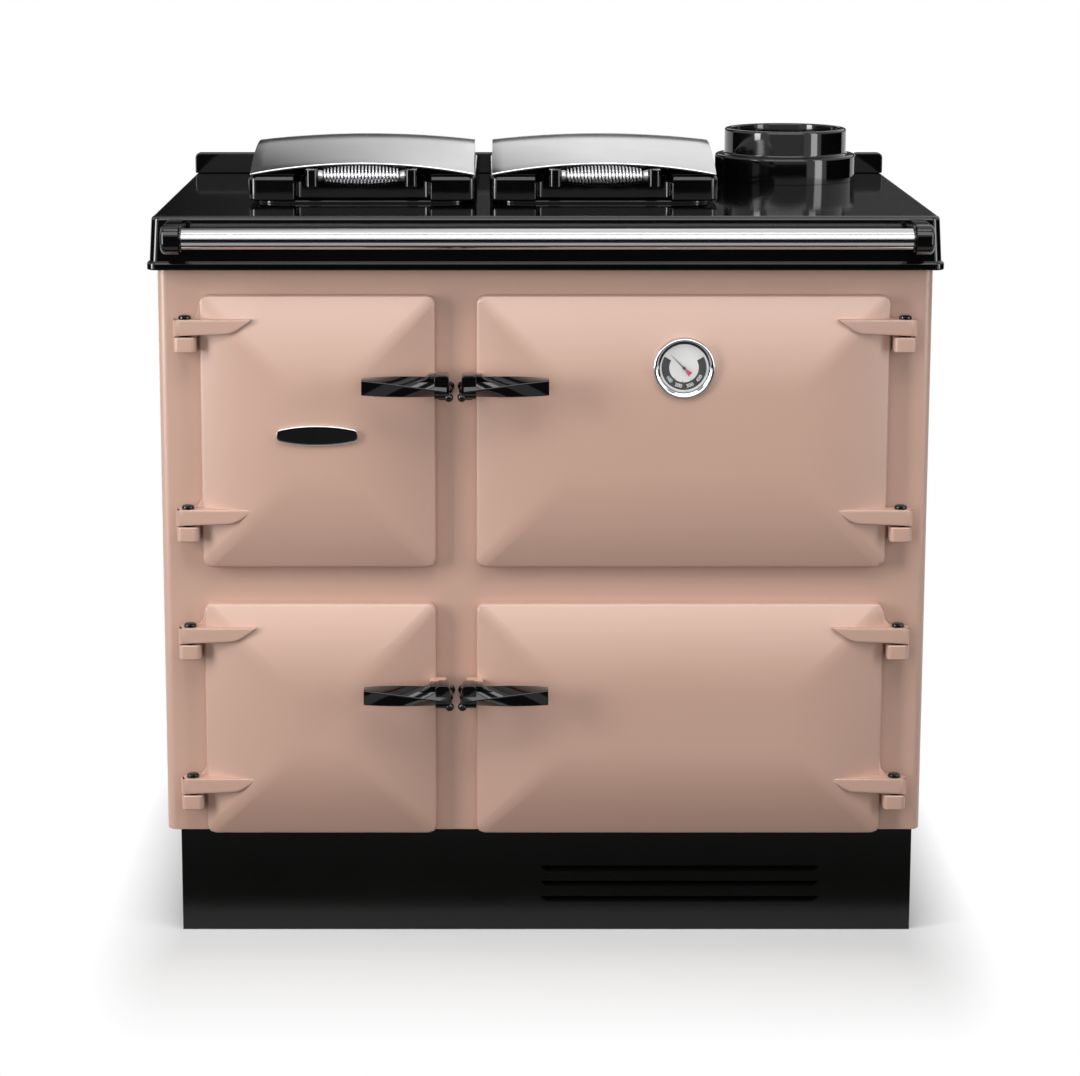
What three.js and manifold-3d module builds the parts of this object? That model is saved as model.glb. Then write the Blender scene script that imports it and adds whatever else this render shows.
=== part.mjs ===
// A cast iron range cooker: four hinged doors, two domed hob lids with spring grips, a towel rail and a flue
// collar.
// Millimetres, +Z up, X to the right and -Y towards the cook. The origin is on the floor under the middle.
import * as THREE from 'three';
import { mergeVertices } from 'three/addons/utils/BufferGeometryUtils.js';
import Module from 'manifold-3d';

const wasm = await Module();
wasm.setup();

// ---- Driving dimensions -------------------------------------------------------------------------
// Depths are measured back from the hob's front edge, widths from the middle and heights from the floor.
const fit = 0.3; // clearance between two pieces that touch
const bore = 0.4; // radial clearance of a pin in its hole
const past = 1; // how far a cut or a join runs past the surface
const weld = 1e-4; // corners nearer than this are one

const pinSides = 14; // sides of the round bars
const railSides = 24;
const ringSides = 36;
const gripSides = 16;
const studSides = 12;
const shelfSides = 8;
const badgeSteps = 6; // chords of the badge's rounded ends

const hobWidth = 968; // along the top front edge
const hobDepth = 600;
const hobTop = 928;
const hobThickness = 14;
const hobSkirt = 66; // drop of the skirt below the hob top
const hobSkirtWall = 10;
const hobFlare = 3; // lean of the skirt outwards
const hobLip = 6; // reach of the bottom lip past the top edge
const hobLipHeight = 11;
const hobCorner = 12;
const hobEdge = 5; // rounding of the top edge
const hobLipRound = 2;
const hobCrease = 3; // slope between the lip and the skirt

const bodyInset = 4; // each side inside the hob's top edge
const bodyFront = 20;
const bodyBackInset = 6; // back inside the hob's back
const bodyRebate = 10; // how far the body stands up inside the skirt
const bodyEdge = 12; // rounding of the upright front edges
const panelWall = 6;
const frontWall = 16;

const plinthHeight = 140;
const plinthInset = 11.5; // each side inside the body's
const plinthShift = 4;
const plinthSetback = 18; // behind the body's front
const plinthBackInset = 16; // inside the body's back
const plinthWall = 4;
const plinthFlange = 25;
const louvreCount = 3;
const louvreLeft = -4;
const louvreRight = 355;
const louvreHigh = 82; // middle of the top slot
const louvrePitch = 20.5;
const louvreSlot = 7.5;
const louvreBlade = 2;
const louvreDepth = 14;
const basePlate = 8;

const doorEdge = 14; // thickness of the rim
const doorRim = 5; // depth of the front of the rim
const doorRise = 22; // pillow height over the rim
const doorReach = 120; // width of the pillow's slope
const doorCorner = 9;
const slopeShares = [0, 0.08, 0.2, 0.36, 0.56, 0.78, 1]; // rings of the slope, close together at the rim
const doorShell = 8;
const doorRimWall = 10;
const stileLeft = 53; // from the body's side to the left doors
const stileRight = 54;
const leftDoorWidth = 291;
const mullion = 51; // between the left and right doors
const topRail = 32.5; // from the skirt's foot to the upper doors
const middleRail = 46.5;
const lowerDoorHeight = 300;
const apertureLap = 22; // door past its opening on each side
const linerPlug = 20; // how far the liner enters the opening
const linerGap = 9; // side clearance of the liner, which lets the door swing
const linerWall = 4;
const linerFlange = 5;

const pinOffset = 17; // hinge axis outside the door's edge
const pinDepth = -1.5;
const pinRadius = 4.5;
const pinCapRadius = 8;
const pinCap = 5;
const pinCollar = 1.4;
const pinTail = 14;
const hingeDrop = 48; // top hinge's bearing below the top of the door
const hingeRise = 56.5; // bottom hinge's bearing above the bottom of the door
const armHeight = 20;
const armLength = 92;
const armRound = 14.5; // arm past the hinge axis
const armFront = 10.5;
const armBack = 8;
const armTaper = 8; // rise of the underside at the tip
const knuckleHeight = 18.8;
const knuckleWidth = 27.7;
const hingeCorner = 7;

const handleHigh = 104.5; // handle below the top of its door
const hubBeyond = 9; // hub past the door's latch edge
const hubWidth = 18;
const hubHeight = 28;
const hubLow = 4; // hub's middle below the bar's middle
const hubFront = -60;
const hubBack = -32;
const hubCorner = 4;
const hubEntry = 4.5; // bar and claw start this far from the hub's middle
const barSide = 18;
const barEnd = 98; // free end from the hub's middle
const barDepth = -50;
const barTilt = 10; // degrees, at the free end
const barTwist = 60; // degrees from the free end to the hub
const barSteps = 9;
const barChamfer = 2;
const spindleRadius = 4.1;
const spindleRise = 4; // pivot above the bar's middle
const spindleTail = 9;
const earShift = 3; // pivot from the hub's middle, towards the door
const earHeight = 17;
const earFront = -14;
const earBack = 14;
const earHalf = 7;
const keepRadius = 3.5;
const keepReach = 8; // keep past the hub's middle
const keepDrop = 10.5; // keep below the bar's middle
const keepFront = -21.5;
const clawHeight = 4.5;
const clawFront = -38;
const clawBack = -16;

const lidWidth = 290;
const lidDepth = 330;
const lidFront = 140;
const lidMargin = 108.5; // from the hob's side to the left lid
const lidBetween = 17; // from lid to lid
const lidLift = 4.3; // lid's underside over the hob
const lidHeight = 37; // top of the lid's casting over the hob
const lidCorner = 14; // at the back
const lidFrontCorner = 6;
const lidPocketEdge = 25;
const lidSkin = 8;
const domeSheet = 2.4;
const domeStart = 2; // dome's front corners over the lid's casting
const domeArch = 14; // rise along the front edge
const domeCrown = 28; // rise from front to middle, at the sides
const domeEase = 0.43; // share of the arch lost at the crown
const domeFrontCorner = 4;
const domeStep = 10; // lid body's core behind the dome's front edge
const recessBeyond = 16; // recess past the post on each side
const recessDepth = 25;
const postInner = 55;
const postOuter = 70;
const postReach = 29; // in front of the lid
const postDrop = 12; // foot of the post under the casting's top
const postHeight = 21.5;
const postRound = 4;
const gripSetback = 14; // behind the front of the posts
const gripRise = 12.5; // over the foot of the posts
const rodRadius = 4.5;
const rodSeat = 6;
const coilWire = 3.2;
const coilTurns = 15;
const coilMiddleRadius = 11.9; // to the wire's middle
const coilEndRadius = 7;
const coilLead = 4.2; // length of the bend out of each end
const coilSteps = 8; // of a turn
const coilBend = 3; // steps of the bend
const coilTurned = 0.75; // of a step, while it bends
const coilBarrel = 0.6; // under 1, the barrel is fuller towards its ends
const coilSides = 5;

const lidAxisBehind = 12; // behind the lid
const lidAxisRise = 17; // over the hob
const lidPinRadius = 4;
const lidPinBeyond = 4; // past its lug
const lidEarInner = 58;
const lidEarOuter = 82;
const lugGap = 2; // from ear to lug
const lugWidth = 16;
const lugRadius = 11;

const rimWidth = 10; // raised rim round each hotplate
const lidOverlap = 20; // lid past the hotplate on each side
const hotplateStep = 6;
const hotplateThick = 14;
const hotplateRise = 1.5;
const hotplateCorner = 18;

const collarSide = 145.5; // middle from the hob's side
const collarBehind = 120; // middle from the hob's back
const collarBore = 75;
const collarWall = 8.5; // upper ring
const collarShoulder = 13; // lower ring past the upper one
const collarLowHeight = 35.5;
const collarHighHeight = 35;
const collarRound = 3;
const collarFillet = 1.5;

const upstandBehind = 40; // front from the hob's back
const upstandWall = 14;
const upstandHeight = 28.5;
const upstandGapLeft = 8; // from the collar
const upstandGapRight = 6.5;
const upstandCorner = 7;

const railDrop = 21.5; // middle below the hob's top
const railDepth = -55;
const railRadius = 12.7;
const railInsetLeft = 41; // from the hob's side
const railInsetRight = 39;
const railSocket = 14;
const bracketWidth = 22;
const bracketWall = 5.3; // round the rail
const bracketRound = 14;

const ovenWall = 4;
const ovenLap = 10; // oven past its opening
const ovenInset = 54; // back of the ovens inside the body's
const runnerWidth = 12;
const runnerHeight = 6;
const runnerHigh = 0.4; // share of the oven's height
const runnerStart = 60; // behind the oven's mouth
const fireboxWall = 9;
const grateSlots = 7;
const grateSlot = 14;
const grateMargin = 72; // from the slots to the ends of the firebox
const flueHole = 110;
const shelfRod = 4; // half the frame's thickness
const shelfBarRadius = 3;
const shelfBars = 9;
const shelfGap = 3;

const dialHigh = 87; // middle below the top of the door
const dialRadius = 38;
const dialFront = -22;
const dialBack = 2;
const dialLip = 4.5;
const dialLipWall = 2.5;
const dialWall = 3;
const dialGlass = 2;
const dialPlate = 1.6;
const dialPlateDepth = -11;
const dialBoss = 8;
const needleDepth = -15.5;
const needleThick = 1;
const needleLength = 21;
const needleTail = 12;
const needleAngle = 135; // degrees, from the right, seen from the front
const needleHub = 3;
const needleStud = 1.2;

const badgeWidth = 99.5;
const badgeHeight = 25.5;
const badgeThick = 3.5;
const badgeBelow = 171; // middle below the top of the door

// ---- Derived sizes ------------------------------------------------------------------------------
const bracketHeight = 2 * (railRadius + bracketWall);
const bracketFront = railDepth - bracketHeight / 2;
const overallDepth = hobDepth - bracketFront;
const hobFront = -overallDepth / 2 - bracketFront;
const hobBottom = hobTop - hobSkirt;
const bodyWidth = hobWidth - 2 * bodyInset;
const bodyBack = hobDepth - bodyBackInset;
const plinthWidth = bodyWidth - 2 * plinthInset;
const plinthFront = bodyFront + plinthSetback;
const plinthBack = bodyBack - plinthBackInset;
const leftDoorIn = stileLeft - bodyWidth / 2;
const leftDoorOut = leftDoorIn + leftDoorWidth;
const rightDoorIn = leftDoorOut + mullion;
const rightDoorOut = bodyWidth / 2 - stileRight;
const lowerDoorLow = plinthHeight;
const lowerDoorHigh = lowerDoorLow + lowerDoorHeight;
const upperDoorLow = lowerDoorHigh + middleRail;
const upperDoorHigh = hobBottom - topRail;
const ovenBack = bodyBack - ovenInset;
const lidLeftMiddle = lidMargin + lidWidth / 2 - hobWidth / 2;
const lidRightMiddle = lidLeftMiddle + lidWidth + lidBetween;
const lidBaseTop = hobTop + lidHeight;
const domeEdge = lidBaseTop + domeStart;
const recessHalf = postOuter + recessBeyond;
const postFront = lidFront - postReach;
const postLow = lidBaseTop - postDrop;
const postTop = postLow + postHeight;
const gripDepth = postFront + gripSetback;
const gripHigh = postLow + gripRise;
const lidAxisDepth = lidFront + lidDepth + lidAxisBehind;
const lidAxisHigh = hobTop + lidAxisRise;
const lugInner = lidEarOuter + lugGap;
const lugOuter = lugInner + lugWidth;
const lidPinHalf = lugOuter + lidPinBeyond;
const hotplateWidth = lidWidth - 2 * lidOverlap;
const hotplateDepth = lidDepth - 2 * lidOverlap;
const collarMiddle = hobWidth / 2 - collarSide;
const collarDepth = hobDepth - collarBehind;
const collarUpper = collarBore + collarWall;
const collarLower = collarUpper + collarShoulder;
const collarStep = hobTop + collarLowHeight;
const collarTop = collarStep + collarHighHeight;
const upstandDepth = hobDepth - upstandBehind;
const upstandLeftEnd = collarMiddle - collarLower - upstandGapLeft;
const upstandRightStart = collarMiddle + collarLower + upstandGapRight;
const railHigh = hobTop - railDrop;
const railLeft = railInsetLeft - hobWidth / 2;
const railRight = hobWidth / 2 - railInsetRight;
const bodyTop = hobBottom + bodyRebate - fit;
const frontBack = bodyFront + frontWall;
const axisLeft = leftDoorIn - pinOffset;
const axisRight = rightDoorOut + pinOffset;

// ---- Materials ----------------------------------------------------------------------------------
function material(color, roughness, metalness) {
  return new THREE.MeshStandardMaterial({ color, roughness, metalness });
}

const creamEnamel = material(0xc9a794, 0.32, 0);
const blackEnamel = material(0x0a0a0b, 0.12, 0);
const plinthPaint = material(0x0d0d0e, 0.45, 0);
const castIron = material(0x35322f, 0.7, 0.6);
const bareSteel = material(0x8d8c8a, 0.4, 0.9);
const brightSteel = material(0xd8d8d8, 0.15, 1);
const dialPaint = material(0xe8e8e4, 0.5, 0);
const glassClear = material(0xf2f6f6, 0.05, 0);

// ---- Solids -------------------------------------------------------------------------------------
// A closed geometry as a solid, with shared corners merged and collapsed triangles left out.
function solid(geometry) {
  const bare = new THREE.BufferGeometry();
  bare.setAttribute('position', geometry.getAttribute('position'));
  bare.setIndex(geometry.index);
  const merged = mergeVertices(bare, weld);
  const kept = [];
  for (let i = 0; i < merged.index.count; i += 3) {
    const [a, b, c] = [merged.index.getX(i), merged.index.getX(i + 1), merged.index.getX(i + 2)];
    if (a !== b && b !== c && a !== c) kept.push(a, b, c);
  }
  const vertProperties = new Float32Array(merged.getAttribute('position').array);
  return new wasm.Manifold(new wasm.Mesh({ numProp: 3, vertProperties, triVerts: new Uint32Array(kept) }));
}

// A solid as a geometry for a mesh.
function geometryOf(body) {
  const mesh = body.getMesh();
  const geometry = new THREE.BufferGeometry();
  geometry.setAttribute('position', new THREE.BufferAttribute(new Float32Array(mesh.vertProperties), 3));
  geometry.setIndex(new THREE.BufferAttribute(new Uint32Array(mesh.triVerts), 1));
  return geometry;
}

// The same geometry on the other hand: left becomes right.
function mirrored(geometry) {
  const other = geometry.clone().scale(-1, 1, 1);
  const index = other.index.array;
  for (let i = 0; i < index.length; i += 3) {
    [index[i + 1], index[i + 2]] = [index[i + 2], index[i + 1]];
  }
  return other;
}

function box(x0, x1, y0, y1, z0, z1) {
  const geometry = new THREE.BoxGeometry(x1 - x0, y1 - y0, z1 - z0);
  return solid(geometry.translate((x0 + x1) / 2, (y0 + y1) / 2, (z0 + z1) / 2));
}

// A round bar along an axis through the point (u, v) of the other two, in the order of x, y, z.
function bar(axis, u, v, radius, from, to, sides = pinSides) {
  const geometry = new THREE.CylinderGeometry(radius, radius, to - from, sides);
  const middle = (from + to) / 2;
  if (axis === 'x') geometry.rotateZ(Math.PI / 2).translate(middle, u, v);
  if (axis === 'y') geometry.translate(u, middle, v);
  if (axis === 'z') geometry.rotateX(Math.PI / 2).translate(u, v, middle);
  return solid(geometry);
}

// A shape pushed along an axis. Its coordinates are those of the other two axes, in the order of x, y, z.
function prism(axis, shape, from, to, curveSegments = 3) {
  const settings = { depth: to - from, bevelEnabled: false, curveSegments };
  const geometry = new THREE.ExtrudeGeometry(shape, settings);
  const along = new THREE.Matrix4();
  if (axis === 'x') {
    along.makeBasis(new THREE.Vector3(0, 1, 0), new THREE.Vector3(0, 0, 1), new THREE.Vector3(1, 0, 0));
    geometry.applyMatrix4(along).translate(from, 0, 0);
  }
  if (axis === 'y') geometry.rotateX(Math.PI / 2).translate(0, to, 0);
  if (axis === 'z') geometry.translate(0, 0, from);
  return solid(geometry);
}

// A rectangle with each corner rounded by its own radius, from bottom left anticlockwise.
function panel(x0, x1, y0, y1, radii) {
  const [a, b, c, d] = Array.isArray(radii) ? radii : [radii, radii, radii, radii];
  const shape = new THREE.Shape();
  shape.moveTo(x0 + a, y0);
  shape.lineTo(x1 - b, y0);
  if (b > 0) shape.absarc(x1 - b, y0 + b, b, -Math.PI / 2, 0);
  shape.lineTo(x1, y1 - c);
  if (c > 0) shape.absarc(x1 - c, y1 - c, c, 0, Math.PI / 2);
  shape.lineTo(x0 + d, y1);
  if (d > 0) shape.absarc(x0 + d, y1 - d, d, Math.PI / 2, Math.PI);
  shape.lineTo(x0, y0 + a);
  if (a > 0) shape.absarc(x0 + a, y0 + a, a, Math.PI, Math.PI * 1.5);
  return shape;
}

function polygon(points) {
  return new THREE.Shape(points.map(([u, v]) => new THREE.Vector2(u, v)));
}

// A ring of points round a rounded rectangle, anticlockwise, with the same count at any radius.
function ring(u0, u1, v0, v1, radius, steps = 3) {
  const points = [];
  const [left, right, low, high] = [u0 + radius, u1 - radius, v0 + radius, v1 - radius];
  const corners = [[right, low], [right, high], [left, high], [left, low]];
  corners.forEach(([u, v], quarter) => {
    for (let i = 0; i <= steps; i += 1) {
      const angle = (quarter - 1 + i / steps) * Math.PI / 2;
      points.push([u + radius * Math.cos(angle), v + radius * Math.sin(angle)]);
    }
  });
  return points;
}

// A closed geometry over rings of points, which run anticlockwise as seen from the end that they lead to.
function loft(rings) {
  const count = rings[0].length;
  const last = rings.length - 1;
  const positions = rings.flat(2);
  const index = [];
  rings.slice(1).forEach((_, i) => {
    for (let j = 0; j < count; j += 1) {
      const a = i * count + j;
      const b = i * count + (j + 1) % count;
      index.push(a, b, b + count, a, b + count, a + count);
    }
  });
  [0, last].forEach((i) => {
    const centre = positions.length / 3;
    for (let k = 0; k < 3; k += 1) {
      positions.push(rings[i].reduce((sum, point) => sum + point[k], 0) / count);
    }
    for (let j = 0; j < count; j += 1) {
      const a = i * count + j;
      const b = i * count + (j + 1) % count;
      index.push(centre, i ? a : b, i ? b : a);
    }
  });
  const geometry = new THREE.BufferGeometry();
  geometry.setAttribute('position', new THREE.Float32BufferAttribute(positions, 3));
  geometry.setIndex(index);
  return geometry;
}

// ---- The scene graph ----------------------------------------------------------------------------
const group = new THREE.Group();
const cooker = new THREE.Group(); // y is 0 at the front edge of the hob
cooker.position.y = hobFront;
group.add(cooker);

function add(parent, name, body, finish, side = 1) {
  const geometry = body.isBufferGeometry ? body : geometryOf(body);
  const mesh = new THREE.Mesh(side < 0 ? mirrored(geometry) : geometry, finish);
  mesh.name = name;
  parent.add(mesh);
  return mesh;
}

function place(parent, x, y, z) {
  const frame = new THREE.Group();
  frame.position.set(x, y, z);
  parent.add(frame);
  return frame;
}

// ---- Plinth and body ----------------------------------------------------------------------------
// A sheet box, open below, with a flange that carries the body and three louvres in its front.
function plinth() {
  const x0 = plinthShift - plinthWidth / 2;
  const x1 = plinthShift + plinthWidth / 2;
  const top = plinthHeight - fit;
  const wall = plinthWall;
  const inner = box(x0 + wall, x1 - wall, plinthFront + wall, plinthBack - wall, -wall, top - wall);
  const hole = plinthFlange;
  const mouth = box(x0 + hole, x1 - hole, plinthFront + hole, plinthBack - hole, top - 2 * wall, top + wall);
  let body = box(x0, x1, plinthFront, plinthBack, 0, top).subtract(inner).subtract(mouth);
  for (let i = 0; i < louvreCount; i += 1) {
    const high = louvreHigh - i * louvrePitch + louvreSlot / 2;
    const low = high - louvreSlot;
    const [left, right] = [louvreLeft, louvreRight];
    const slot = [[left, high], [left + louvreSlot, low], [right - louvreSlot, low], [right, high]];
    body = body.subtract(prism('y', polygon(slot), plinthFront - wall, plinthFront + 2 * wall));
    const inside = plinthFront + louvreDepth;
    const start = plinthFront + wall / 2;
    const blade = [[start, low - louvreBlade], [inside, high - louvreBlade], [inside, high], [start, low]];
    body = body.add(prism('x', polygon(blade), left, right));
  }
  return body;
}

const leftHung = { side: 1, inner: leftDoorIn, outer: leftDoorOut };
const rightHung = { side: -1, inner: rightDoorIn, outer: rightDoorOut };
const upper = { low: upperDoorLow, high: upperDoorHigh };
const lower = { low: lowerDoorLow, high: lowerDoorHigh };
const doorPlans = [
  { name: 'upper_left', ...leftHung, ...upper },
  { name: 'upper_right', ...rightHung, ...upper },
  { name: 'lower_left', ...leftHung, ...lower },
  { name: 'lower_right', ...rightHung, ...lower },
];

// The heights of a door's two hinge bearings over its bottom edge.
const bearings = (plan) => [plan.high - plan.low - hingeDrop, hingeRise];

// The front casting: four openings behind the doors, and a knuckle under each hinge arm.
function frontPlate() {
  const half = bodyWidth / 2;
  const outline = panel(-half, half, bodyFront, frontBack, [bodyEdge, bodyEdge, 0, 0]);
  let body = prism('z', outline, plinthHeight, bodyTop);
  for (const plan of doorPlans) {
    const lap = apertureLap;
    const mouth = panel(plan.inner + lap, plan.outer - lap, plan.low + lap, plan.high - lap, doorCorner);
    body = body.subtract(prism('y', mouth, bodyFront - frontWall, frontBack + frontWall));
    const axis = plan.side > 0 ? axisLeft : axisRight;
    for (const bearing of bearings(plan)) {
      const top = plan.low + bearing - pinCollar - 2 * fit;
      const left = axis - knuckleWidth / 2;
      const corners = [hingeCorner, hingeCorner, 0, 0];
      const block = panel(left, left + knuckleWidth, pinDepth - armFront, bodyFront + past, corners);
      body = body.add(prism('z', block, top - knuckleHeight, top));
      body = body.subtract(bar('z', axis, pinDepth, pinRadius + bore, top - pinTail - past, top + past));
    }
  }
  return body;
}

const bodySide = bodyWidth / 2;
const sideInner = bodySide - panelWall;
const between = sideInner - fit;
const panelStart = frontBack + fit;
const backStart = bodyBack - panelWall;
const baseTop = plinthHeight + basePlate;
add(cooker, 'plinth', plinth(), plinthPaint);
const baseSolid = box(-between, between, panelStart, backStart - fit, plinthHeight, baseTop);
add(cooker, 'base_plate', baseSolid, castIron);
add(cooker, 'front_plate', frontPlate(), creamEnamel);
for (const [name, x0, x1] of [['left', -bodySide, -sideInner], ['right', sideInner, bodySide]]) {
  add(cooker, `side_panel_${name}`, box(x0, x1, panelStart, bodyBack, plinthHeight, bodyTop), creamEnamel);
}
add(cooker, 'back_panel', box(-between, between, backStart, bodyBack, plinthHeight, bodyTop), castIron);

// ---- Hob ----------------------------------------------------------------------------------------
const lidPlans = [
  { name: 'left', middle: lidLeftMiddle },
  { name: 'right', middle: lidRightMiddle },
];
const lidMiddleDepth = lidFront + lidDepth / 2;

// One ring of the hob's outline, grown past the top edge by a given reach.
function hobRing(reach, z) {
  const half = hobWidth / 2 + reach;
  return ring(-half, half, -reach, hobDepth, hobCorner).map(([x, y]) => [x, y, z]);
}

// The hob casting: a gloss top with a flared skirt and lip, raised rims, lugs for the lid hinges and the
// mouth of the flue.
function hobPlate() {
  const flareEnd = hobBottom + hobLipHeight;
  const chord = hobEdge * (1 - Math.SQRT1_2);
  const rings = [
    hobRing(hobLip - hobLipRound, hobBottom),
    hobRing(hobLip, hobBottom + hobLipRound),
    hobRing(hobLip, flareEnd - hobCrease),
    hobRing(hobFlare, flareEnd),
    hobRing(0, hobTop - hobEdge),
    hobRing(-chord, hobTop - chord),
    hobRing(-hobEdge, hobTop),
  ];
  const half = hobWidth / 2 - hobSkirtWall;
  const under = hobTop - hobThickness;
  const ledge = hobBottom + bodyRebate;
  const rebate = bodyWidth / 2 + fit;
  let body = solid(loft(rings));
  body = body.subtract(box(-half, half, hobSkirtWall, hobDepth - hobSkirtWall, hobBottom - past, under));
  body = body.subtract(box(-rebate, rebate, bodyFront - fit, bodyBack + fit, hobBottom - past, ledge));
  const rimHalf = hotplateWidth / 2 + rimWidth;
  const rimDeep = hotplateDepth / 2 + rimWidth;
  for (const { middle } of lidPlans) {
    const rim = panel(middle - rimHalf, middle + rimHalf, lidMiddleDepth - rimDeep, lidMiddleDepth + rimDeep,
      hotplateCorner + rimWidth);
    body = body.add(prism('z', rim, hobTop - past, hobTop + lidLift - fit));
    body = body.subtract(hotplateBlock(middle, 0, under - past, hobTop + lidLift));
    for (const hand of [-1, 1]) {
      const [x0, x1] = [middle + hand * lugInner, middle + hand * lugOuter].sort((a, b) => a - b);
      const [front, back] = [lidAxisDepth - lugRadius, lidAxisDepth + lugRadius];
      const cheek = box(x0, x1, front, back, hobTop - past, lidAxisHigh);
      body = body.add(cheek).add(bar('x', lidAxisDepth, lidAxisHigh, lugRadius, x0, x1));
      body = body.subtract(bar('x', lidAxisDepth, lidAxisHigh, lidPinRadius + bore, x0 - past, x1 + past));
    }
  }
  const flue = bar('z', collarMiddle, collarDepth, collarBore, under - past, hobTop + past, ringSides);
  return body.subtract(flue);
}

// A rounded block in line with a hotplate, smaller all round by a given margin.
function hotplateBlock(middle, margin, low, high) {
  const half = hotplateWidth / 2 - margin;
  const deep = hotplateDepth / 2 - margin;
  const [front, back] = [lidMiddleDepth - deep, lidMiddleDepth + deep];
  return prism('z', panel(middle - half, middle + half, front, back, hotplateCorner - margin), low, high);
}

function hotplate(middle) {
  const top = hobTop + hotplateRise;
  const under = top - hotplateThick;
  const foot = hotplateBlock(middle, hotplateStep, under - hotplateStep, under);
  return hotplateBlock(middle, fit, under, top).add(foot);
}

// The two-step ring that takes the flue pipe.
function flueCollar() {
  const low = hobTop + fit;
  const round = collarRound;
  const profile = [
    [collarBore, low],
    [collarLower, low],
    [collarLower, collarStep - round],
    [collarLower - round, collarStep],
    [collarUpper + collarFillet, collarStep],
    [collarUpper, collarTop - round],
    [collarUpper - round, collarTop],
    [collarBore, collarTop],
    [collarBore, low],
  ];
  const points = profile.map(([radius, z]) => new THREE.Vector2(radius, z));
  const lathe = new THREE.LatheGeometry(points, ringSides).rotateX(Math.PI / 2);
  return solid(lathe.translate(collarMiddle, collarDepth, 0));
}

function upstand(x0, x1) {
  const outline = panel(x0, x1, hobTop + fit, hobTop + upstandHeight, [0, 0, upstandCorner, upstandCorner]);
  return prism('y', outline, upstandDepth, upstandDepth + upstandWall);
}

add(cooker, 'hob_plate', hobPlate(), blackEnamel);
for (const { name, middle } of lidPlans) add(cooker, `hotplate_${name}`, hotplate(middle), castIron);
add(cooker, 'flue_collar', flueCollar(), blackEnamel);
add(cooker, 'upstand_left', upstand(-hobWidth / 2, upstandLeftEnd), blackEnamel);
add(cooker, 'upstand_right', upstand(upstandRightStart, hobWidth / 2), blackEnamel);

// ---- Towel rail ---------------------------------------------------------------------------------
const [railStart, railEnd] = [railLeft - railSocket, railRight + railSocket];
const railTube = bar('x', railDepth, railHigh, railRadius, railStart, railEnd, railSides);
add(cooker, 'rail_tube', railTube, brightSteel);

// How far the skirt leans out at a height.
const skirtReach = (z) => hobFlare * (hobTop - z) / (hobSkirt - hobLipHeight);

// A rounded cup that stands out from the hob's skirt and holds the tube's end in a blind socket.
function railBracket(inner, hand) {
  const [low, high] = [railHigh - bracketHeight / 2, railHigh + bracketHeight / 2];
  const round = bracketRound;
  const outline = new THREE.Shape();
  outline.moveTo(-skirtReach(low) - fit, low);
  outline.lineTo(-fit, high);
  outline.lineTo(bracketFront + round, high);
  outline.absarc(bracketFront + round, high - round, round, Math.PI / 2, Math.PI);
  outline.lineTo(bracketFront, low + round);
  outline.absarc(bracketFront + round, low + round, round, Math.PI, Math.PI * 1.5);
  const [x0, x1] = hand < 0 ? [inner - bracketWidth, inner] : [inner, inner + bracketWidth];
  const [s0, s1] = [inner - hand * past, inner + hand * (railSocket + fit)].sort((a, b) => a - b);
  const socket = bar('x', railDepth, railHigh, railRadius + fit, s0, s1, railSides);
  return prism('x', outline, x0, x1).subtract(socket);
}

add(cooker, 'rail_bracket_left', railBracket(railLeft, -1), blackEnamel);
add(cooker, 'rail_bracket_right', railBracket(railRight, 1), blackEnamel);

// ---- Ovens, firebox and lower compartment -------------------------------------------------------
// The outer box of the chamber behind a door.
function chamber(plan) {
  const reach = ovenLap - apertureLap;
  const [x0, x1] = [plan.inner - reach, plan.outer + reach];
  const z0 = Math.max(plan.low - reach, baseTop + fit);
  return { x0, x1, y0: panelStart, y1: ovenBack, z0, z1: plan.high + reach };
}

function openBox({ x0, x1, y0, y1, z0, z1 }, wall) {
  const hollow = box(x0 + wall, x1 - wall, y0 - past, y1 - wall, z0 + wall, z1 - wall);
  return box(x0, x1, y0, y1, z0, z1).subtract(hollow);
}

const runnerTop = (room) => room.z0 + (room.z1 - room.z0) * runnerHigh;

// An oven liner with a runner on each side for its shelf.
function oven(room) {
  const top = runnerTop(room);
  const [start, end] = [room.y0 + runnerStart, room.y1 - ovenWall + past];
  const reach = ovenWall + runnerWidth;
  const runner = (x0, x1) => box(x0, x1, start, end, top - runnerHeight, top);
  const left = runner(room.x0 + past, room.x0 + reach);
  const right = runner(room.x1 - reach, room.x1 - past);
  return openBox(room, ovenWall).add(left).add(right);
}

// A wire shelf that slides on the runners.
function wireShelf(room) {
  const gap = ovenWall + shelfGap;
  const [x0, x1, y0, y1] = [room.x0 + gap, room.x1 - gap, room.y0 + runnerStart, room.y1 - gap];
  const z0 = runnerTop(room) + fit;
  const side = 2 * shelfRod;
  const inside = box(x0 + side, x1 - side, y0 + side, y1 - side, z0 - past, z0 + side + past);
  let body = box(x0, x1, y0, y1, z0, z0 + side).subtract(inside);
  for (let i = 1; i <= shelfBars; i += 1) {
    const x = x0 + (x1 - x0) * i / (shelfBars + 1);
    body = body.add(bar('y', x, z0 + shelfRod, shelfBarRadius, y0 + shelfRod, y1 - shelfRod, shelfSides));
  }
  return body;
}

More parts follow.
